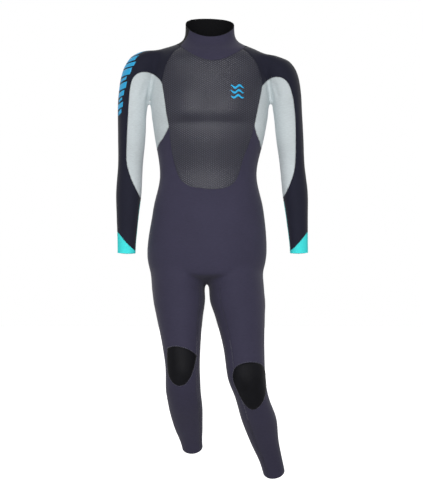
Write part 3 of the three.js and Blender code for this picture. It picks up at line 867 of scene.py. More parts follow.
def shaped_skin(grid):
    """The whole skin, smoothed where its tubes meet and shaped by muscles and folds."""
    points, triangles = joined_skin(grid)
    x, y, z = points.T
    weight = np.full(len(points), 0.5)
    points = relax(points, triangles, weight, FIRST_ROUNDS)
    knots = np.zeros(len(points))
    for strength, middle, reach in SMOOTHED:
        knots = np.maximum(knots, strength * hump(points, middle, reach))
    zip_line = (np.abs(x) < 0.030) & (y > 0.05) & (z > -0.50)
    knots[zip_line] = 0.0
    points = relax(points, triangles, 0.5 * np.clip(knots * 1.6, 0, 1), LOCAL_ROUNDS)
    for shift, middle, reach in SHOULDER_SHIFTS:
        points[:, 2] += shift * hump(points, middle, reach)
    normals = point_normals(points, triangles)
    rise = body_relief(points) + fold_relief(points)
    beside = np.clip(np.abs(points[:, 0]) - ZIP_FLAT_HALF, 0, None)
    flat = np.exp(-0.5 * (beside / ZIP_FLAT_FADE) ** 2)
    rise *= 1.0 - flat * (points[:, 1] > 0.02) * (points[:, 2] > -0.52)
    points = points + normals * rise[:, None]
    points = relax(points, triangles, weight, LAST_ROUNDS)
    return points, triangles


# A point nearer to a line than this share of the grid slides onto it, where the field's squared slope
# is over the second value.
SETTLE_SHARE = 0.28
STEEP_ENOUGH = 0.15
FIELD_STEP = 0.0002
ON_LINE = 1e-7


class Surface:
    """The suit's skin, cut along lines into named panels that share their edges."""

    def __init__(self, points, triangles, grid):
        self.points = points
        self.triangles = triangles
        self.grid = grid
        self.panels = ["trunk"]
        self.panel = np.zeros(len(triangles), int)
        self.fixed = np.zeros(len(points), bool)

    def among(self, panels):
        """Which triangles belong to any of the named panels."""
        return np.isin(self.panel, [self.panels.index(panel) for panel in panels])

    def carve(self, name, field, panels):
        """Gives the part of some panels where the field is below zero to the panel called name."""
        if name not in self.panels:
            self.panels.append(name)
        chosen = self.among(panels)
        value = field(self.points)
        value = self.settle_on_line(field, value, chosen)
        edges = edges_of(self.triangles[chosen])
        crossing = edges[value[edges[:, 0]] * value[edges[:, 1]] < 0]
        first, second = value[crossing[:, 0]], value[crossing[:, 1]]
        share = (first / (first - second))[:, None]
        made = self.points[crossing[:, 0]] * (1 - share) + self.points[crossing[:, 1]] * share
        start = len(self.points)
        middle_of = {(int(a), int(b)): start + i for i, (a, b) in enumerate(crossing)}
        self.points = np.concatenate((self.points, made))
        self.fixed = np.concatenate((self.fixed, np.ones(len(made), bool)))
        value = np.concatenate((value, np.zeros(len(made))))
        self.divide(middle_of)
        chosen = self.among(panels)
        inside = chosen & (value[self.triangles].sum(axis=1) < 0)
        self.panel[inside] = self.panels.index(name)

    def settle_on_line(self, field, value, chosen):
        """Slides points that almost lie on the line along the skin until they do."""
        used = np.unique(self.triangles[chosen])
        near = used[(np.abs(value[used]) < SETTLE_SHARE * self.grid) & ~self.fixed[used]]
        if len(near):
            at = self.points[near]
            steps = FIELD_STEP * np.eye(3)
            slope = np.stack(
                [(field(at + step) - field(at - step)) / (2 * FIELD_STEP) for step in steps], axis=1
            )
            normal = point_normals(self.points, self.triangles)[near]
            slope -= normal * (slope * normal).sum(axis=1)[:, None]
            steep = (slope ** 2).sum(axis=1)
            good = steep > STEEP_ENOUGH
            near, slope, steep = near[good], slope[good], steep[good]
            self.points[near] -= slope * (value[near] / steep)[:, None]
            value[near] = 0.0
        on_line = used[np.abs(value[used]) < ON_LINE]
        value[on_line] = 0.0
        self.fixed[on_line] = True
        return value

    def divide(self, middle_of):
        """Splits each triangle at the new points on its edges."""
        if not middle_of:
            return
        count = len(self.points)
        keys = np.array([a * count + b for a, b in middle_of], np.int64)
        places = np.array(list(middle_of.values()), np.int64)
        order = np.argsort(keys)
        keys, places = keys[order], places[order]
        cuts = np.full(self.triangles.shape, -1, np.int64)
        for side in range(3):
            pair = np.sort(self.triangles[:, (side, (side + 1) % 3)], axis=1)
            key = pair[:, 0] * count + pair[:, 1]
            found = np.clip(np.searchsorted(keys, key), 0, len(keys) - 1)
            hit = keys[found] == key
            cuts[hit, side] = places[found[hit]]
        cut = (cuts >= 0).any(axis=1)
        kept, kept_panel = self.triangles[~cut], self.panel[~cut]
        new, new_panel = [], []
        for corners, marks, panel in zip(self.triangles[cut], cuts[cut], self.panel[cut]):
            number = int((marks >= 0).sum())
            turn = int(np.argmax(marks >= 0)) if number == 1 else int(np.argmax(marks < 0))
            a, b, c = np.roll(corners, -turn)
            ab, bc, ca = np.roll(marks, -turn)
            if number == 1:
                new += [(a, ab, c), (ab, b, c)]
            elif number == 2:
                new += [(a, b, bc), (a, bc, ca), (ca, bc, c)]
            else:
                new += [(a, ab, ca), (ab, b, bc), (ca, bc, c), (ab, bc, ca)]
            new_panel += [panel] * (len(new) - len(new_panel))
        self.triangles = np.concatenate((kept, np.array(new, np.int64)))
        self.panel = np.concatenate((kept_panel, np.array(new_panel, int)))

    def seam_edges(self, panels):
        """Edges between any two of the named panels."""
        chosen = self.among([panel for panel in panels if panel in self.panels])
        panel = self.panel[chosen]
        pairs = np.sort(sides_of(self.triangles[chosen]), axis=1)
        owner = np.concatenate((panel, panel, panel))
        order = np.lexsort((pairs[:, 1], pairs[:, 0]))
        pairs, owner = pairs[order], owner[order]
        same = (pairs[1:] == pairs[:-1]).all(axis=1) & (owner[1:] != owner[:-1])
        return pairs[:-1][same]


TRUNK_PANELS = ("body_front", "chest", "collar", "collar_closure", "seat", "side_left", "side_right",
                "yoke_left", "yoke_right", "back_left", "back_right")


def sleeve_field(side):
    def field(points):
        return np.interp(points[:, 2], ARMHOLE_HEIGHTS, ARMHOLE_OUT) - side * points[:, 0]
    return field


def height_field(level):
    return lambda points: points[:, 2] - level


def everywhere(points):
    """Below zero at every point, to give what is left of a panel another name."""
    return np.full(len(points), -1.0)


def waste_field(plane):
    return lambda points: -above(points, plane)


# The rim's field is scaled so that it comes near to a distance from the rim.
RIM_SCALE = 0.8
RIM_HALF_WIDTH = 0.075


def rim_field(points):
    """Above the collar's rim, which dips at the throat and climbs to the sides and the nape."""
    x, y, z = points.T
    throat_y, throat_z = RIM_THROAT
    rim = throat_z + RIM_CLIMB * (y - throat_y) + RIM_SIDE_LIFT * (x / RIM_HALF_WIDTH) ** 2 + RIM_TILT * x
    return (rim - z) * RIM_SCALE


def collar_field(points):
    """Above the seam between collar and body."""
    x, y, z = points.T
    low_x, low_z = SEAM_LOW
    reach, rise, power = SEAM_BOW
    bow = low_z + rise * (np.abs(x - low_x) / reach) ** power
    slope = SEAM_SLOPE[1] + SEAM_SLOPE[2] * (y - SEAM_SLOPE[0])
    return np.maximum(bow, slope) - z


# The front edge of the collar's overlap at some heights, and the depth behind which it takes in the
# whole right half of the collar.
CLOSURE_HEIGHTS = (0.030, 0.048, 0.063, 0.095, 0.115)
CLOSURE_EDGE = (-0.096, -0.083, -0.071, -0.060, -0.062)
CLOSURE_BACK = 0.045


def closure_field(points):
    """The dark overlap of the collar, from the wearer's right side round to the nape."""
    x, y, z = points.T
    edge = np.interp(z, CLOSURE_HEIGHTS, CLOSURE_EDGE)
    return np.minimum(x - edge, np.maximum(x, CLOSURE_BACK - y))


def zip_slot_field(points):
    x, y, z = points.T
    return np.maximum(np.maximum(np.abs(x) - ZIP_HALF, ZIP_FOOT - z), 0.03 - y)


def yoke_field(side):
    return lambda points: np.maximum(YOKE_LEVEL - points[:, 2], -side * points[:, 0])


# The cuff's edge in front and at the back: its height, and how that changes round the arm. The back
# edge holds from a share of the arm's depth in front of its middle; the scale makes metres of it.
CUFF_FRONT = (-0.5725, 0.0305, 0.006)
CUFF_BACK = (-0.492, -0.050)
CUFF_TURN = 0.22
CUFF_SCALE = 0.03


def cuff_field(side):
    """The bright cuff: low at the front of the wrist, climbing round the back to the inside of the arm."""
    def field(points):
        x, y, wide, deep = section_at(arm_stations(side), points[:, 2])
        out = side * (points[:, 0] - x) / wide
        behind = (points[:, 1] - y) / deep
        level, slope, bend = CUFF_FRONT
        in_front = points[:, 2] - (level + slope * out + bend * out ** 2)
        level, slope = CUFF_BACK
        at_back = np.maximum(points[:, 2] - (level + slope * out), -CUFF_SCALE * (behind + CUFF_TURN))
        return np.minimum(in_front, at_back)
    return field


def inner_leg_field(name, side):
    """The strip along the inside of the leg; it narrows towards the ankle."""
    def field(points):
        x, _, wide, _ = section_at(LEG_STATIONS[name], points[:, 2])
        inward = -side * (points[:, 0] - x)
        return INNER_SEAM_SHARE[name] * wide - inward
    return field


def knee_pad_field(name):
    outline = flowing_outline(KNEE_PAD_OUTLINES[name])

    def field(points):
        _, y, _, _ = section_at(LEG_STATIONS[name], points[:, 2])
        return np.maximum(outline_distance(points, outline), points[:, 1] - y)
    return field


def cut_suit(surface):
    """Cuts the whole skin into its panels, from the openings to the knee pads."""
    for name, side in SIDES:
        surface.carve("sleeve_" + name, sleeve_field(side), ["trunk"])
    surface.carve("legs", height_field(LEG_TOP), ["trunk"])
    surface.carve("waste", rim_field, ["trunk"])
    cut_trunk(surface)
    for name, side in SIDES:
        cut_sleeve(surface, name, side)
        cut_leg(surface, name, side)


def cut_trunk(surface):
    chest = flowing_outline(CHEST_OUTLINE)
    surface.carve("collar", collar_field, ["trunk"])
    surface.carve("waste", zip_slot_field, ["trunk"])
    surface.carve("collar_closure", closure_field, ["collar"])
    surface.carve("chest", lambda p: np.maximum(outline_distance(p, chest), p[:, 1]), ["trunk"])
    for name, side in SIDES:
        outline = flowing_outline(UNDERARM_OUTLINES[name])
        surface.carve("side_" + name, lambda p, o=outline: outline_distance(p, o), ["trunk"])
    for name, side in SIDES:
        surface.carve("yoke_" + name, yoke_field(side), ["trunk"])
    surface.carve("seat", lambda p: np.maximum(p[:, 2] - SEAT_LEVEL, -p[:, 1]), ["trunk"])
    for name, side in SIDES:
        surface.carve("back_" + name, lambda p, s=side: np.maximum(-p[:, 1], -s * p[:, 0]), ["trunk"])
    surface.carve("body_front", everywhere, ["trunk"])


def cut_sleeve(surface, name, side):
    """Parts a sleeve into three stretches, each with its dark, pale and bright panels."""
    whole = "sleeve_" + name
    through = (side * WRIST_MIDDLE[0],) + WRIST_MIDDLE[1:]
    along = (side * WRIST_ALONG[0],) + WRIST_ALONG[1:]
    surface.carve("waste", waste_field((through, along)), [whole])
    upper, lower = SLEEVE_PARTINGS
    surface.carve("forearm_" + name, height_field(lower), [whole])
    surface.carve("elbow_" + name, height_field(upper), [whole])
    surface.carve("shoulder_" + name, everywhere, [whole])
    outline = flowing_outline(UNDERARM_OUTLINES[name])
    for stretch in ("shoulder_", "elbow_"):
        surface.carve(stretch + "pale_" + name, lambda p: outline_distance(p, outline), [stretch + name])
    for stretch in ("elbow_", "forearm_"):
        surface.carve(stretch + "cuff_" + name, cuff_field(side), [stretch + name])


def cut_leg(surface, name, side):
    """Parts a leg into three stretches, each with its main and inner panels, and sets in the knee pad."""
    whole = "leg_" + name
    surface.carve(whole, lambda p: side * (LEG_PARTING - p[:, 0]), ["legs"])
    surface.carve("waste", waste_field(ANKLES[name]), [whole])
    upper, lower = LEG_PARTINGS[name]
    surface.carve("shin_" + name, height_field(lower), [whole])
    surface.carve("knee_" + name, height_field(upper), [whole])
    surface.carve("thigh_" + name, everywhere, [whole])
    surface.carve("knee_pad_" + name, knee_pad_field(name), ["knee_" + name])
    for stretch in ("thigh_", "knee_", "shin_"):
        surface.carve(stretch + "inner_" + name, inner_leg_field(name, side), [stretch + name])


SUIT = {}


def suit():
    """The cut skin with its normals, seams and sunk outer points, worked out once."""
    if not SUIT:
        sizes = bpy.context.scene.wetsuit_sizes
        points, triangles = shaped_skin(sizes.grid)
        surface = Surface(points, triangles, sizes.grid)
        cut_suit(surface)
        normals = point_normals(surface.points, surface.triangles)
        outer = surface.points.copy()
        for stretch in STRETCHES:
            seam = np.unique(surface.seam_edges(stretch["panels"]))
            outer[seam] = surface.points[seam] - normals[seam] * sizes.seam_depth
        lift_knee_pads(surface, outer, normals, sizes.pad_rise)
        shade = point_normals(outer, surface.triangles)
        SUIT.update(surface=surface, normals=normals, outer=outer, shade=shade)
    return SUIT


PAD_EDGE = 0.005
INSIDE_PAD = 1e-5


def lift_knee_pads(surface, outer, normals, rise):
    """Raises the knee pads, rounded off along their edges."""
    for name, _ in SIDES:
        panel = surface.panels.index("knee_pad_" + name)
        own = np.unique(surface.triangles[surface.panel == panel])
        depth = -knee_pad_field(name)(surface.points[own])
        lift = rise * np.clip(depth / PAD_EDGE, 0.0, 1.0) ** 0.5
        inside = depth > INSIDE_PAD
        outer[own[inside]] = surface.points[own[inside]] + normals[own[inside]] * lift[inside][:, None]


# ---------- how each stretch of the suit moves ----------
def stretches():
    """Each stretch's panels and the bodies it follows; a bending one has two and the points between them."""
    made = [{"name": "trunk", "panels": TRUNK_PANELS, "body": "torso"}]
    for name, side in SIDES:
        arm_x = 0.24 * side
        made += [
            {
                "name": "shoulder_" + name,
                "panels": ("shoulder_" + name, "shoulder_pale_" + name),
                "blend": ("torso", "upper_arm_" + name),
                "points": ((arm_x, 0, SHOULDER_BEND[0]), (arm_x, 0, SHOULDER_BEND[1])),
            },
            {
                "name": "elbow_" + name,
                "panels": ("elbow_" + name, "elbow_pale_" + name, "elbow_cuff_" + name),
                "blend": ("upper_arm_" + name, "forearm_" + name),
                "points": ((arm_x, 0, ELBOW_BEND[0]), (arm_x, 0, ELBOW_BEND[1])),
            },
            {
                "name": "forearm_" + name,
                "panels": ("forearm_" + name, "forearm_cuff_" + name),
                "body": "forearm_" + name,
            },
            {
                "name": "thigh_" + name,
                "panels": ("thigh_" + name, "thigh_inner_" + name),
                "blend": ("torso", "thigh_" + name),
                "points": ((0, 0, HIP_BEND[name][0]), (0, 0, HIP_BEND[name][1])),
            },
            {
                "name": "knee_" + name,
                "panels": ("knee_" + name, "knee_inner_" + name, "knee_pad_" + name),
                "blend": ("thigh_" + name, "shin_" + name),
                "points": ((0, 0, KNEE_BEND[name][0]), (0, 0, KNEE_BEND[name][1])),
            },
            {
                "name": "shin_" + name,
                "panels": ("shin_" + name, "shin_inner_" + name),
                "body": "shin_" + name,
            },
        ]
    return made


STRETCHES = stretches()


def follow(thing, stretch):
    """Makes a finished piece follow its stretch's body where it has one; a bending stretch's piece is only
    baked in place.
    """
    if "body" in stretch:
        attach(thing, stretch["body"])
    else:
        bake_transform(thing)


def stretch_named(name):
    return next(stretch for stretch in STRETCHES if stretch["name"] == name)


# ---------- pieces ----------
def new_piece(name, mesh, materials):
    """An object at the origin with its materials."""
    thing = linked(name, mesh)
    mesh.materials.clear()
    for material in materials:
        mesh.materials.append(finish(material))
    return thing


def boundary_of(triangles):
    """Directed edges that only one triangle uses."""
    pairs = sides_of(triangles)
    count = int(triangles.max()) + 1
    forward = pairs[:, 0] * count + pairs[:, 1]
    backward = pairs[:, 1] * count + pairs[:, 0]
    return pairs[~np.isin(forward, backward)]


def panel_piece(panel, name, material, stretch):
    """One panel of the suit as a wall: outer face, lining and edge."""
    made = suit()
    surface = made["surface"]
    wall = bpy.context.scene.wetsuit_sizes.wall
    chosen = surface.triangles[surface.panel == surface.panels.index(panel)]
    if not len(chosen):
        raise RuntimeError("no faces were cut for the panel " + panel)
    used, places = np.unique(chosen, return_inverse=True)
    faces = places.reshape(-1, 3)
    count = len(used)
    inner = surface.points[used] - made["normals"][used] * wall
    edge = boundary_of(faces)
    rim = np.concatenate(
        (
            np.stack((edge[:, 1], edge[:, 0], edge[:, 0] + count), 1),
            np.stack((edge[:, 1], edge[:, 0] + count, edge[:, 1] + count), 1),
        )
    )
    points = np.concatenate((made["outer"][used], inner))
    mesh = mesh_from(name, points, np.concatenate((faces, faces[:, ::-1] + count, rim)))
    thing = new_piece(name, mesh, [material, "lining"])
    smooth = np.ones(len(faces) * 2 + len(rim), bool)
    smooth[len(faces) * 2:] = False
    mesh.polygons.foreach_set("use_smooth", smooth)
    index = np.ones(len(smooth), np.int32)
    index[: len(faces)] = 0
    mesh.polygons.foreach_set("material_index", index)
    mesh.update()
    shade_across_cuts(mesh, made["shade"][used], len(faces))
    follow(thing, stretch)
    return thing
def make_panels(stretch, ending, rows):
    """Pieces of one stretch. A row has a panel, its piece, its material and any nodes it replaces."""
    for panel, piece, material, *nodes in rows:
        thing = panel_piece(panel + ending, piece + ending, material, stretch_named(stretch))
        if nodes:
            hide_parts(*[node + ending for node in nodes])
def shade_across_cuts(mesh, shade, count):
    """Shades a panel's two faces as one surface with its neighbours, so that only sewn lines show."""
    corners = np.zeros(len(mesh.loops), np.int32)
    mesh.loops.foreach_get("vertex_index", corners)
    flat = np.zeros(len(mesh.polygons) * 3, np.float32)
    mesh.polygons.foreach_get("normal", flat)
    normals = np.repeat(flat.reshape(-1, 3), 3, axis=0)
    both = np.concatenate((shade, -shade))
    normals[: 6 * count] = both[corners[: 6 * count]]
    mesh.normals_split_custom_set(normals.tolist())


# ---------- geometry nodes ----------
class Growth(Tree):
    """A Geometry Nodes tree built step by step, and the mesh it grows on an object."""

    def __init__(self, name, numbers):
        super().__init__(bpy.data.node_groups.new(name, "GeometryNodeTree"))
        face = self.tree.interface
        face.new_socket(name="Geometry", in_out="INPUT", socket_type="NodeSocketGeometry")
        face.new_socket(name="Geometry", in_out="OUTPUT", socket_type="NodeSocketGeometry")
        kinds = {label: "NodeSocketFloat" for label in numbers}
        kinds["Material"] = "NodeSocketMaterial"
        self.sockets = {
            label: face.new_socket(name=label, in_out="INPUT", socket_type=kind)
            for label, kind in kinds.items()
        }
        self.given = self.tree.nodes.new("NodeGroupInput")
        self.result = self.tree.nodes.new("NodeGroupOutput")

    def spaced_line(self):
        """The base mesh's lines as curves with points a pitch apart."""
        given = self.given.outputs
        lines = self.add("GeometryNodeMeshToCurve", {"Mesh": given["Geometry"]})
        links = {"Curve": lines.outputs["Curve"], "Length": given["Pitch"]}
        return self.add("GeometryNodeResampleCurve", links, mode="LENGTH").outputs["Curve"]

    def finish(self, geometry):
        real = self.add("GeometryNodeRealizeInstances", {"Geometry": geometry})
        painted = self.add(
            "GeometryNodeSetMaterial",
            {"Geometry": real.outputs["Geometry"], "Material": self.given.outputs["Material"]},
        )
        self.tree.links.new(painted.outputs["Geometry"], self.result.inputs["Geometry"])

    def grow(self, base, values):
        """The plain mesh that the tree makes of a base mesh with these input values."""
        thing = linked("base", base)
        modifier = thing.modifiers.new("growth", "NODES")
        modifier.node_group = self.tree
        for label, value in values.items():
            modifier[self.sockets[label].identifier] = value
        mesh = evaluated_mesh(thing)
        thing.modifiers.remove(modifier)
        bpy.data.objects.remove(thing)
        return mesh


STITCH_FOOT = 0.0003
STITCH_CROWN = 0.0011
STITCH_SLANT = 0.42


def stitch_tree():
    """Slanting threads laid across a seam at an even pitch, each a small arch that dips in at both ends."""
    growth = Growth("Seam stitches", ("Pitch", "Width", "Thread"))
    given = growth.given.outputs
    up = growth.add("GeometryNodeInputNamedAttribute", values={"Name": "seam_up"}, data_type="FLOAT_VECTOR")
    along = growth.add("GeometryNodeInputTangent")
    turn = growth.add(
        "FunctionNodeAxesToRotation",
        {"Primary Axis": up.outputs["Attribute"], "Secondary Axis": along.outputs["Tangent"]},
        primary_axis="Z",
        secondary_axis="X",
    )
    half = growth.math("MULTIPLY", given["Width"], 0.5)
    slant = growth.math("MULTIPLY", given["Pitch"], STITCH_SLANT)
    back = growth.math("MULTIPLY", slant, -1.0)
    across = {share: growth.math("MULTIPLY", half, share) for share in (-1.0, -0.5, 0.5)}
    arch = growth.add(
        "GeometryNodeCurvePrimitiveBezierSegment",
        {
            "Start": growth.vector(back, across[-1.0], STITCH_FOOT),
            "Start Handle": growth.vector(0.0, across[-0.5], STITCH_CROWN),
            "End Handle": growth.vector(0.0, across[0.5], STITCH_CROWN),
            "End": growth.vector(slant, half, STITCH_FOOT),
        },
        {"Resolution": 5},
    )
    ring = growth.add("GeometryNodeCurvePrimitiveCircle", {"Radius": given["Thread"]}, {"Resolution": 5})
    strand = growth.add(
        "GeometryNodeCurveToMesh",
        {"Curve": arch.outputs["Curve"], "Profile Curve": ring.outputs["Curve"]},
        {"Fill Caps": True},
    )
    placed = growth.add(
        "GeometryNodeInstanceOnPoints",
        {
            "Points": growth.spaced_line(),
            "Instance": strand.outputs["Mesh"],
            "Rotation": turn.outputs["Rotation"],
        },
    )
    growth.finish(placed.outputs["Instances"])
    return growth


TOOTH_THICKNESS = 0.0022
TOOTH_HEAD_DEPTH = 0.0025
# The height of a tooth's root and the radius of its head, as shares of the pitch.
TOOTH_ROOT_SHARE = 0.42
TOOTH_HEAD_SHARE = 0.36


def tooth_tree():
    """Zip teeth along a line: a moulded root on the tape's edge and a rounded head that meshes."""
    growth = Growth("Zip teeth", ("Pitch", "Reach"))
    given = growth.given.outputs
    size = growth.math("ABSOLUTE", given["Reach"], 0.0)
    height = growth.math("MULTIPLY", given["Pitch"], TOOTH_ROOT_SHARE)
    root = growth.add("GeometryNodeMeshCube", {"Size": growth.vector(size, TOOTH_THICKNESS, height)})
    shift = growth.vector(growth.math("MULTIPLY", given["Reach"], -0.5), 0.0, 0.0)
    rooted = growth.add(
        "GeometryNodeTransform", {"Geometry": root.outputs["Mesh"], "Translation": shift}
    )
    head = growth.add(
        "GeometryNodeMeshCylinder",
        {"Radius": growth.math("MULTIPLY", given["Pitch"], TOOTH_HEAD_SHARE)},
        {"Vertices": 8, "Depth": TOOTH_HEAD_DEPTH},
    )
    lying = growth.add(
        "GeometryNodeTransform", {"Geometry": head.outputs["Mesh"]}, {"Rotation": (math.pi / 2, 0.0, 0.0)}
    )
    both = growth.add("GeometryNodeJoinGeometry")
    growth.tree.links.new(rooted.outputs["Geometry"], both.inputs["Geometry"])
    growth.tree.links.new(lying.outputs["Geometry"], both.inputs["Geometry"])
    placed = growth.add(
        "GeometryNodeInstanceOnPoints",
        {"Points": growth.spaced_line(), "Instance": both.outputs["Geometry"]},
    )
    growth.finish(placed.outputs["Instances"])
    return growth


# ---------- shapes for the zip and the prints ----------
def thickened(name, points, faces, thickness, bevel):
    """A sheet with a thickness behind its outer face and softened edges, shaded smooth."""
    sheet = linked(name, mesh_from(name, points, faces))
    thick = sheet.modifiers.new("thick", "SOLIDIFY")
    thick.thickness = thickness
    thick.offset = -1.0
    if bevel:
        edge = sheet.modifiers.new("edge", "BEVEL")
        edge.width = bevel
        edge.segments = 2
    mesh = evaluated_mesh(sheet)
    bpy.data.objects.remove(sheet)
    mesh.polygons.foreach_set("use_smooth", np.ones(len(mesh.polygons), bool))
    return mesh


def skin_tree():
    made = suit()
    return BVHTree.FromPolygons(made["outer"].tolist(), made["surface"].triangles.tolist())


PRINT_LIFT = 0.0004
PRINT_THICKNESS = 0.0003


def grid_faces(rows, columns):
    """Quads of a grid of points stored row by row."""
    width = columns + 1
    return [
        (a, a + 1, a + width + 1, a + width)
        for row in range(rows)
        for a in range(row * width, row * width + columns)
    ]


def strip_grid(start_edge, end_edge, steps_along, steps_across):
    """Points and quads of a strip between two lines of points."""
    rows = np.linspace(0.0, 1.0, steps_across + 1)[:, None, None]
    sheet = np.asarray(start_edge) * (1 - rows) + np.asarray(end_edge) * rows
    return sheet.reshape(-1, sheet.shape[-1]), grid_faces(steps_across, steps_along)


def laid_on_skin(tree, origins, directions):
    """Where rays meet the skin, lifted clear of it."""
    places = []
    for origin, direction in zip(origins, directions):
        hit, normal, _, _ = tree.ray_cast(Vector(origin), Vector(direction))
        if hit is None:
            raise RuntimeError("a printed mark misses the suit")
        towards = normal if normal.dot(Vector(direction)) < 0 else -normal
        places.append(hit + towards * PRINT_LIFT)
    return [tuple(place) for place in places]


# The badge: its width, the distance between its waves, their height and their half thickness.
BADGE_WIDTH = 0.040
BADGE_ROW = 0.0155
BADGE_WAVE = 0.0040
BADGE_HALF = 0.0038
BADGE_STEPS = 24


def badge_strips():
    """Three waves, one over the other, that taper at both ends: a mark of no maker."""
    strips = []
    along = np.linspace(-0.5, 0.5, BADGE_STEPS + 1)
    for row in range(3):
        middle_z = BADGE_ROW - BADGE_ROW * row
        wave = BADGE_WAVE * np.sin(along * 2 * math.pi * 1.5 + 0.5 * row)
        half = BADGE_HALF * np.sqrt(np.clip(1.0 - (2 * along) ** 2, 0.04, 1.0))
        upper = np.stack((along * BADGE_WIDTH, middle_z + wave + half), 1)
        lower = np.stack((along * BADGE_WIDTH, middle_z + wave - half), 1)
        strips.append((upper, lower, BADGE_STEPS, 3))
    return strips


BADGE_MIDDLE = (0.084, -0.110)


def badge_mesh(tree):
    points, faces = [], []
    for upper, lower, steps, across in badge_strips():
        flat, strip = strip_grid(upper, lower, steps, across)
        origins = [(BADGE_MIDDLE[0] + x, -0.4, BADGE_MIDDLE[1] + z) for x, z in flat]
        start = len(points)
        points += laid_on_skin(tree, origins, [(0.0, 1.0, 0.0)] * len(origins))
        faces += [tuple(start + i for i in face) for face in strip]
    return points, faces


# Bars of the sleeve mark: where each starts and ends down the sleeve, and how wide it reaches round it.
SLEEVE_BARS = (
    (0.018, 0.006, 18.0), (0.001, -0.014, 44.0), (-0.019, -0.032, 60.0), (-0.037, -0.058, 54.0),
    (-0.064, -0.074, 34.0), (-0.080, -0.100, 46.0), (-0.106, -0.122, 36.0), (-0.128, -0.136, 24.0),
    (-0.142, -0.158, 36.0), (-0.164, -0.176, 24.0),
)
BAR_FACING = 216.0
BAR_SLANT = 0.010


def sleeve_bars_mesh(tree, side):
    """Slanting bars down the outside of the upper sleeve."""
    points, faces = [], []
    for top, bottom, spread in SLEEVE_BARS:
        angles = np.radians(BAR_FACING + np.linspace(-spread / 2, spread / 2, 11))
        lean = np.linspace(-BAR_SLANT / 2, BAR_SLANT / 2, 11)
        upper = np.stack((angles, top + lean), 1)
        lower = np.stack((angles, bottom + lean), 1)
        flat, strip = strip_grid(upper, lower, 10, 6)
        x, y, _, _ = section_at(arm_stations(side), flat[:, 1])
        origins = np.stack((x, y, flat[:, 1]), 1)
        directions = np.stack((np.cos(flat[:, 0]), np.sin(flat[:, 0]), np.zeros(len(flat))), 1)
        far = origins + directions * 0.12
        start = len(points)
        points += laid_on_skin(tree, far, -directions)
        faces += [tuple(start + i for i in face[::-1]) for face in strip]
    return points, faces


def print_film(name, points, faces):
    """A printed layer with a hair of thickness, closed all round."""
    return thickened(name, points, faces, PRINT_THICKNESS, None)


# ---------- operators ----------
CAMERA_DISTANCE = 9.0
FRAME_WIDTH = 1.311
FRAME_MIDDLE = (0.005, -0.595)
SENSOR = 36.0


class WETSUIT_OT_stage(bpy.types.Operator):
    """Lay the studio paper and set up its lights and the camera"""

    bl_idname = "wetsuit.stage"
    bl_label = "Stage"

    def execute(self, context):
        lay_paper()
        light_studio()
        place_camera(context.scene)
        return {"FINISHED"}


FLOOR_DROP = 0.60
FLOOR_RADIUS = 40.0
FLOOR_SIDES = 96


def lay_paper():
    """A wide round floor of pale paper, well below the suit."""
    floor_z = CAD_BOX[0][2] - FLOOR_DROP
    turns = np.linspace(0.0, 2.0 * math.pi, FLOOR_SIDES + 1)[:-1]
    points = [(0.0, 0.0, floor_z)]
    points += [(FLOOR_RADIUS * math.cos(t), FLOOR_RADIUS * math.sin(t), floor_z) for t in turns]
    faces = [(0, 1 + i, 1 + (i + 1) % FLOOR_SIDES) for i in range(FLOOR_SIDES)]
    mesh = mesh_from("studio_paper", points, faces)
    mesh.materials.append(finish("studio_paper"))
    linked("studio_paper", mesh)


def add_softbox(name, place, target, size, power, spread):
    light = bpy.data.lights.new(name, "AREA")
    light.shape = "RECTANGLE"
    light.size, light.size_y = size
    light.energy = power
    light.spread = math.radians(spread)
    lamp = linked(name, light)
    lamp.location = place
    lamp.rotation_euler = (Vector(target) - Vector(place)).to_track_quat("-Z", "Y").to_euler()


# The backdrop's strength in front of the suit and behind it, and between which directions it changes.
WORLD_STRENGTH = (0.28, 1.0)
WORLD_TURN = (-0.1, 0.9)


def light_studio():
    """A white backdrop that is brighter behind the suit, and two soft boxes in front of it."""
    world = bpy.data.worlds.new("studio")
    world.use_nodes = True
    sky = world.node_tree.nodes["Background"]
    sky.inputs["Color"].default_value = (1.0, 1.0, 1.0, 1.0)
    sky_tree = Tree(world.node_tree)
    way = sky_tree.add("ShaderNodeTexCoord")
    split = sky_tree.add("ShaderNodeSeparateXYZ", {"Vector": way.outputs["Generated"]})
    ramp = sky_tree.add(
        "ShaderNodeMapRange",
        {"Value": split.outputs["Y"]},
        {
            "From Min": WORLD_TURN[0],
            "From Max": WORLD_TURN[1],
            "To Min": WORLD_STRENGTH[0],
            "To Max": WORLD_STRENGTH[1],
        },
        interpolation_type="SMOOTHSTEP",
    )
    sky_tree.tree.links.new(ramp.outputs["Result"], sky.inputs["Strength"])
    bpy.context.scene.world = world
    add_softbox("key", (-0.4, -3.0, 0.35), (0.0, 0.0, -0.52), size=(1.0, 1.0), power=6.0, spread=60.0)
    add_softbox("fill", (1.8, -3.0, 0.9), (0.0, 0.0, -0.5), size=(1.2, 1.2), power=1.9, spread=60.0)


def place_camera(scene):
    data = bpy.data.cameras.new("camera")
    data.sensor_fit = "HORIZONTAL"
    data.sensor_width = SENSOR
    data.lens = SENSOR * CAMERA_DISTANCE / FRAME_WIDTH
    camera = linked("camera", data)
    camera.location = (FRAME_MIDDLE[0], -CAMERA_DISTANCE, FRAME_MIDDLE[1])
    camera.rotation_euler = (math.pi / 2, 0.0, 0.0)
    scene.camera = camera
    scene.view_settings.view_transform = "Standard"


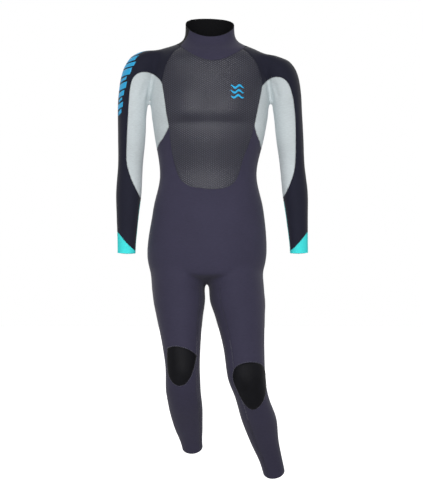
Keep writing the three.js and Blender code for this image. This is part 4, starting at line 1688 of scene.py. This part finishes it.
# Rows of panels: a panel, its piece, its material and the nodes that the piece replaces.
TRUNK_PIECES = (
    ("chest", "chest_skin", "mesh_skin", "chest_panel"),
    ("body_front", "body_front", "navy_neoprene", "front_body_panel"),
    ("seat", "seat", "navy_neoprene", "seat_panel"),
)
TRUNK_SIDE_PIECES = (
    ("side_", "side_", "grey_neoprene", "side_panel_"),
    ("yoke_", "yoke_", "dark_neoprene", "shoulder_yoke_"),
    ("back_", "back_", "navy_neoprene", "back_panel_"),
)
COLLAR_PIECES = (
    ("collar", "collar_band", "navy_neoprene", "collar"),
    ("collar_closure", "collar_closure", "knee_rubber"),
)
SLEEVE_PIECES = {
    "shoulder_": (
        ("shoulder_", "sleeve_top_", "dark_neoprene", "shoulder_cap_", "shoulder_sleeve_", "upper_sleeve_"),
        ("shoulder_pale_", "underarm_top_", "grey_neoprene", "underarm_panel_"),
    ),
    "elbow_": (
        ("elbow_", "sleeve_elbow_", "dark_neoprene", "elbow_sleeve_"),
        ("elbow_pale_", "underarm_elbow_", "grey_neoprene"),
        ("elbow_cuff_", "cuff_tip_", "cyan_neoprene"),
    ),
    "forearm_": (
        ("forearm_", "sleeve_forearm_", "dark_neoprene", "forearm_sleeve_"),
        ("forearm_cuff_", "cuff_", "cyan_neoprene", "cuff_accent_"),
    ),
}
LEG_PIECES = {
    "thigh_": (
        ("thigh_", "leg_thigh_", "navy_neoprene", "hip_leg_", "thigh_leg_"),
        ("thigh_inner_", "leg_thigh_inner_", "navy_neoprene"),
    ),
    "knee_": (
        ("knee_", "leg_knee_", "navy_neoprene", "knee_leg_"),
        ("knee_inner_", "leg_knee_inner_", "navy_neoprene"),
    ),
    "shin_": (
        ("shin_", "leg_shin_", "navy_neoprene", "shin_leg_", "ankle_hem_"),
        ("shin_inner_", "leg_shin_inner_", "navy_neoprene"),
    ),
}
KNEE_PAD_PIECES = (("knee_pad_", "pad_", "knee_rubber", "knee_pad_"),)


class WETSUIT_OT_trunk(bpy.types.Operator):
    """Make the chest, side, shoulder, back and seat panels"""

    bl_idname = "wetsuit.trunk"
    bl_label = "Trunk panels"

    def execute(self, context):
        make_panels("trunk", "", TRUNK_PIECES)
        for name, _ in SIDES:
            make_panels("trunk", name, TRUNK_SIDE_PIECES)
        return {"FINISHED"}


class WETSUIT_OT_collar(bpy.types.Operator):
    """Make the stand-up collar with its dark closure edge and the flap at the nape"""

    bl_idname = "wetsuit.collar"
    bl_label = "Collar"

    def execute(self, context):
        make_panels("trunk", "", COLLAR_PIECES)
        make_collar_flap()
        return {"FINISHED"}


# The flap: how far it stands off the neck, its thickness and rounding, and its grid.
FLAP_GAP = 0.0036
FLAP_THICKNESS = 0.0028
FLAP_ROUNDING = 0.0009
FLAP_COLUMNS = 28
FLAP_ROWS = 12


def make_collar_flap():
    """A padded tab that follows the nape and closes over the zip's top."""
    low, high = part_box("collar_flap")
    points = []
    for z in np.linspace(low.z, high.z, FLAP_ROWS + 1):
        x_mid, y_mid, wide, deep = section_at(TORSO_STATIONS, np.array([z]))
        for x in np.linspace(low.x, high.x, FLAP_COLUMNS + 1):
            share = np.clip((x - x_mid[0]) / (wide[0] + 0.001), -0.98, 0.98)
            points.append((x, y_mid[0] + (deep[0] + FLAP_GAP) * math.sqrt(1 - share ** 2), z))
    faces = [(a, d, c, b) for a, b, c, d in grid_faces(FLAP_ROWS, FLAP_COLUMNS)]
    mesh = thickened("flap", points, faces, FLAP_THICKNESS, FLAP_ROUNDING)
    flap = new_piece("collar_tab", mesh, ["knee_rubber"])
    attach(flap, "collar_flap")
    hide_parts("collar_flap")


class WETSUIT_OT_sleeves(bpy.types.Operator):
    """Make both sleeves with their pale inner panels and bright cuffs"""

    bl_idname = "wetsuit.sleeves"
    bl_label = "Sleeves"

    def execute(self, context):
        for name, _ in SIDES:
            for stretch, rows in SLEEVE_PIECES.items():
                make_panels(stretch + name, name, rows)
        return {"FINISHED"}


class WETSUIT_OT_legs(bpy.types.Operator):
    """Make both legs with their inner-leg panels"""

    bl_idname = "wetsuit.legs"
    bl_label = "Legs"

    def execute(self, context):
        for name, _ in SIDES:
            for stretch, rows in LEG_PIECES.items():
                make_panels(stretch + name, name, rows)
        return {"FINISHED"}


class WETSUIT_OT_knee_pads(bpy.types.Operator):
    """Make the two raised knee pads"""

    bl_idname = "wetsuit.knee_pads"
    bl_label = "Knee pads"

    def execute(self, context):
        for name, _ in SIDES:
            make_panels("knee_" + name, name, KNEE_PAD_PIECES)
        return {"FINISHED"}


METAL_NODES = ("zip_slider", "zip_puller", "zip_bottom_stop", "zip_top_stop_left", "zip_top_stop_right")


class WETSUIT_OT_back_zip(bpy.types.Operator):
    """Make the zip's tapes and teeth and finish its slider, puller and stops"""

    bl_idname = "wetsuit.back_zip"
    bl_label = "Back zip"

    def execute(self, context):
        pitch = context.scene.wetsuit_sizes.tooth_pitch
        growth = tooth_tree()
        for name, side in SIDES:
            make_tape(name)
            make_teeth(name, side, growth, pitch)
        for node in METAL_NODES:
            paint_frame_node(node, "zip_metal")
        paint_frame_node("zip_backing_flap", "lining")
        return {"FINISHED"}


def paint_frame_node(node, material):
    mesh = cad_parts[node].data
    mesh.materials.clear()
    mesh.materials.append(finish(material))


TAPE_STEP = 0.006
TAPE_COLUMNS = 4
TAPE_SINK = 0.0012
TAPE_ROUNDING = 0.0003


def make_tape(name):
    """A woven strip beside the teeth that follows the spine up into the collar."""
    low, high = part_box("zip_tape_" + name)
    heights = np.append(np.arange(low.z, TAPE_TOP, TAPE_STEP), TAPE_TOP)
    _, middle_y, _, deep = section_at(TORSO_STATIONS, heights)
    outer_y = np.minimum(high.y, middle_y + deep - TAPE_SINK)
    across = np.linspace(low.x, high.x, TAPE_COLUMNS + 1)
    points = [(x, y, z) for y, z in zip(outer_y, heights) for x in across]
    faces = [(a, d, c, b) for a, b, c, d in grid_faces(len(heights) - 1, TAPE_COLUMNS)]
    mesh = thickened("tape", points, faces, high.y - low.y, TAPE_ROUNDING)
    tape = new_piece("tape_" + name, mesh, ["zip_tape"])
    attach(tape, "torso")
    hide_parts("zip_tape_" + name)


TEETH_APART = 0.0006


def make_teeth(name, side, growth, pitch):
    """One row of zip teeth, half a pitch above the other row."""
    low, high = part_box("zip_teeth_" + name)
    middle_y = (low.y + high.y) / 2
    start = low.z + pitch * (0.5 if side < 0 else 1.0)
    ends = [(side * TEETH_APART, middle_y, z) for z in (start, high.z - pitch * 0.5)]
    line = bpy.data.meshes.new("tooth_line")
    line.from_pydata(ends, [(0, 1)], [])
    values = {"Pitch": pitch, "Reach": -side * (high.x - low.x), "Material": finish("zip_plastic")}
    teeth = new_piece("teeth_" + name, growth.grow(line, values), ["zip_plastic"])
    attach(teeth, "torso")
    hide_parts("zip_teeth_" + name)


class WETSUIT_OT_prints(bpy.types.Operator):
    """Lay the printed marks on the chest and on the right sleeve"""

    bl_idname = "wetsuit.prints"
    bl_label = "Prints"

    def execute(self, context):
        tree = skin_tree()
        badge = print_film("chest_mark", *badge_mesh(tree))
        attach(new_piece("chest_mark", badge, ["print_ink"]), "torso")
        bars = print_film("sleeve_mark", *sleeve_bars_mesh(tree, -1))
        follow(new_piece("sleeve_mark", bars, ["print_ink"]), stretch_named("shoulder_right"))
        return {"FINISHED"}


class WETSUIT_OT_seams(bpy.types.Operator):
    """Sew every seam with slanting stitches"""

    bl_idname = "wetsuit.seams"
    bl_label = "Seams"

    def execute(self, context):
        sizes = context.scene.wetsuit_sizes
        made = suit()
        growth = stitch_tree()
        for stretch in STRETCHES:
            edges = made["surface"].seam_edges(stretch["panels"])
            if not len(edges):
                raise RuntimeError("no seam was found on the stretch " + stretch["name"])
            used, places = np.unique(edges, return_inverse=True)
            line = bpy.data.meshes.new("seam_line")
            line.from_pydata(made["outer"][used].tolist(), places.reshape(-1, 2).tolist(), [])
            up = line.attributes.new("seam_up", "FLOAT_VECTOR", "POINT")
            up.data.foreach_set("vector", made["normals"][used].ravel())
            thread = "pad_thread" if stretch["name"].startswith("knee_") else "thread"
            values = {
                "Pitch": sizes.stitch_pitch,
                "Width": sizes.stitch_width,
                "Thread": sizes.thread,
                "Material": finish(thread),
            }
            mesh = growth.grow(line, values)
            mesh.polygons.foreach_set("use_smooth", np.ones(len(mesh.polygons), bool))
            stitches = new_piece("stitches_" + stretch["name"], mesh, [thread])
            follow(stitches, stretch)
        return {"FINISHED"}


OPERATORS = (
    WETSUIT_OT_stage,
    WETSUIT_OT_trunk,
    WETSUIT_OT_collar,
    WETSUIT_OT_sleeves,
    WETSUIT_OT_legs,
    WETSUIT_OT_knee_pads,
    WETSUIT_OT_back_zip,
    WETSUIT_OT_prints,
    WETSUIT_OT_seams,
)


class WETSUIT_PT_panel(bpy.types.Panel):
    """Lists the steps that build the suit and the sizes and colours they use"""

    bl_label = "Wetsuit"
    bl_idname = "WETSUIT_PT_panel"
    bl_space_type = "VIEW_3D"
    bl_region_type = "UI"
    bl_category = "Wetsuit"

    def draw(self, context):
        for group in (context.scene.wetsuit_sizes, context.scene.wetsuit_colours):
            box = self.layout.box()
            for key in group.__annotations__:
                box.prop(group, key)
        for operator in OPERATORS:
            self.layout.operator(operator.bl_idname)


CLASSES = (WetsuitSizes, WetsuitColours) + OPERATORS + (WETSUIT_PT_panel,)


def register():
    for cls in CLASSES:
        bpy.utils.register_class(cls)
    bpy.types.Scene.wetsuit_sizes = PointerProperty(type=WetsuitSizes)
    bpy.types.Scene.wetsuit_colours = PointerProperty(type=WetsuitColours)


def unregister():
    del bpy.types.Scene.wetsuit_colours
    del bpy.types.Scene.wetsuit_sizes
    for cls in reversed(CLASSES):
        bpy.utils.unregister_class(cls)


def main():
    register()
    bpy.ops.wetsuit.stage()
    bpy.ops.wetsuit.trunk()
    bpy.ops.wetsuit.collar()
    bpy.ops.wetsuit.sleeves()
    bpy.ops.wetsuit.legs()
    bpy.ops.wetsuit.knee_pads()
    bpy.ops.wetsuit.back_zip()
    bpy.ops.wetsuit.prints()
    bpy.ops.wetsuit.seams()


if __name__ == "__main__":
    main()
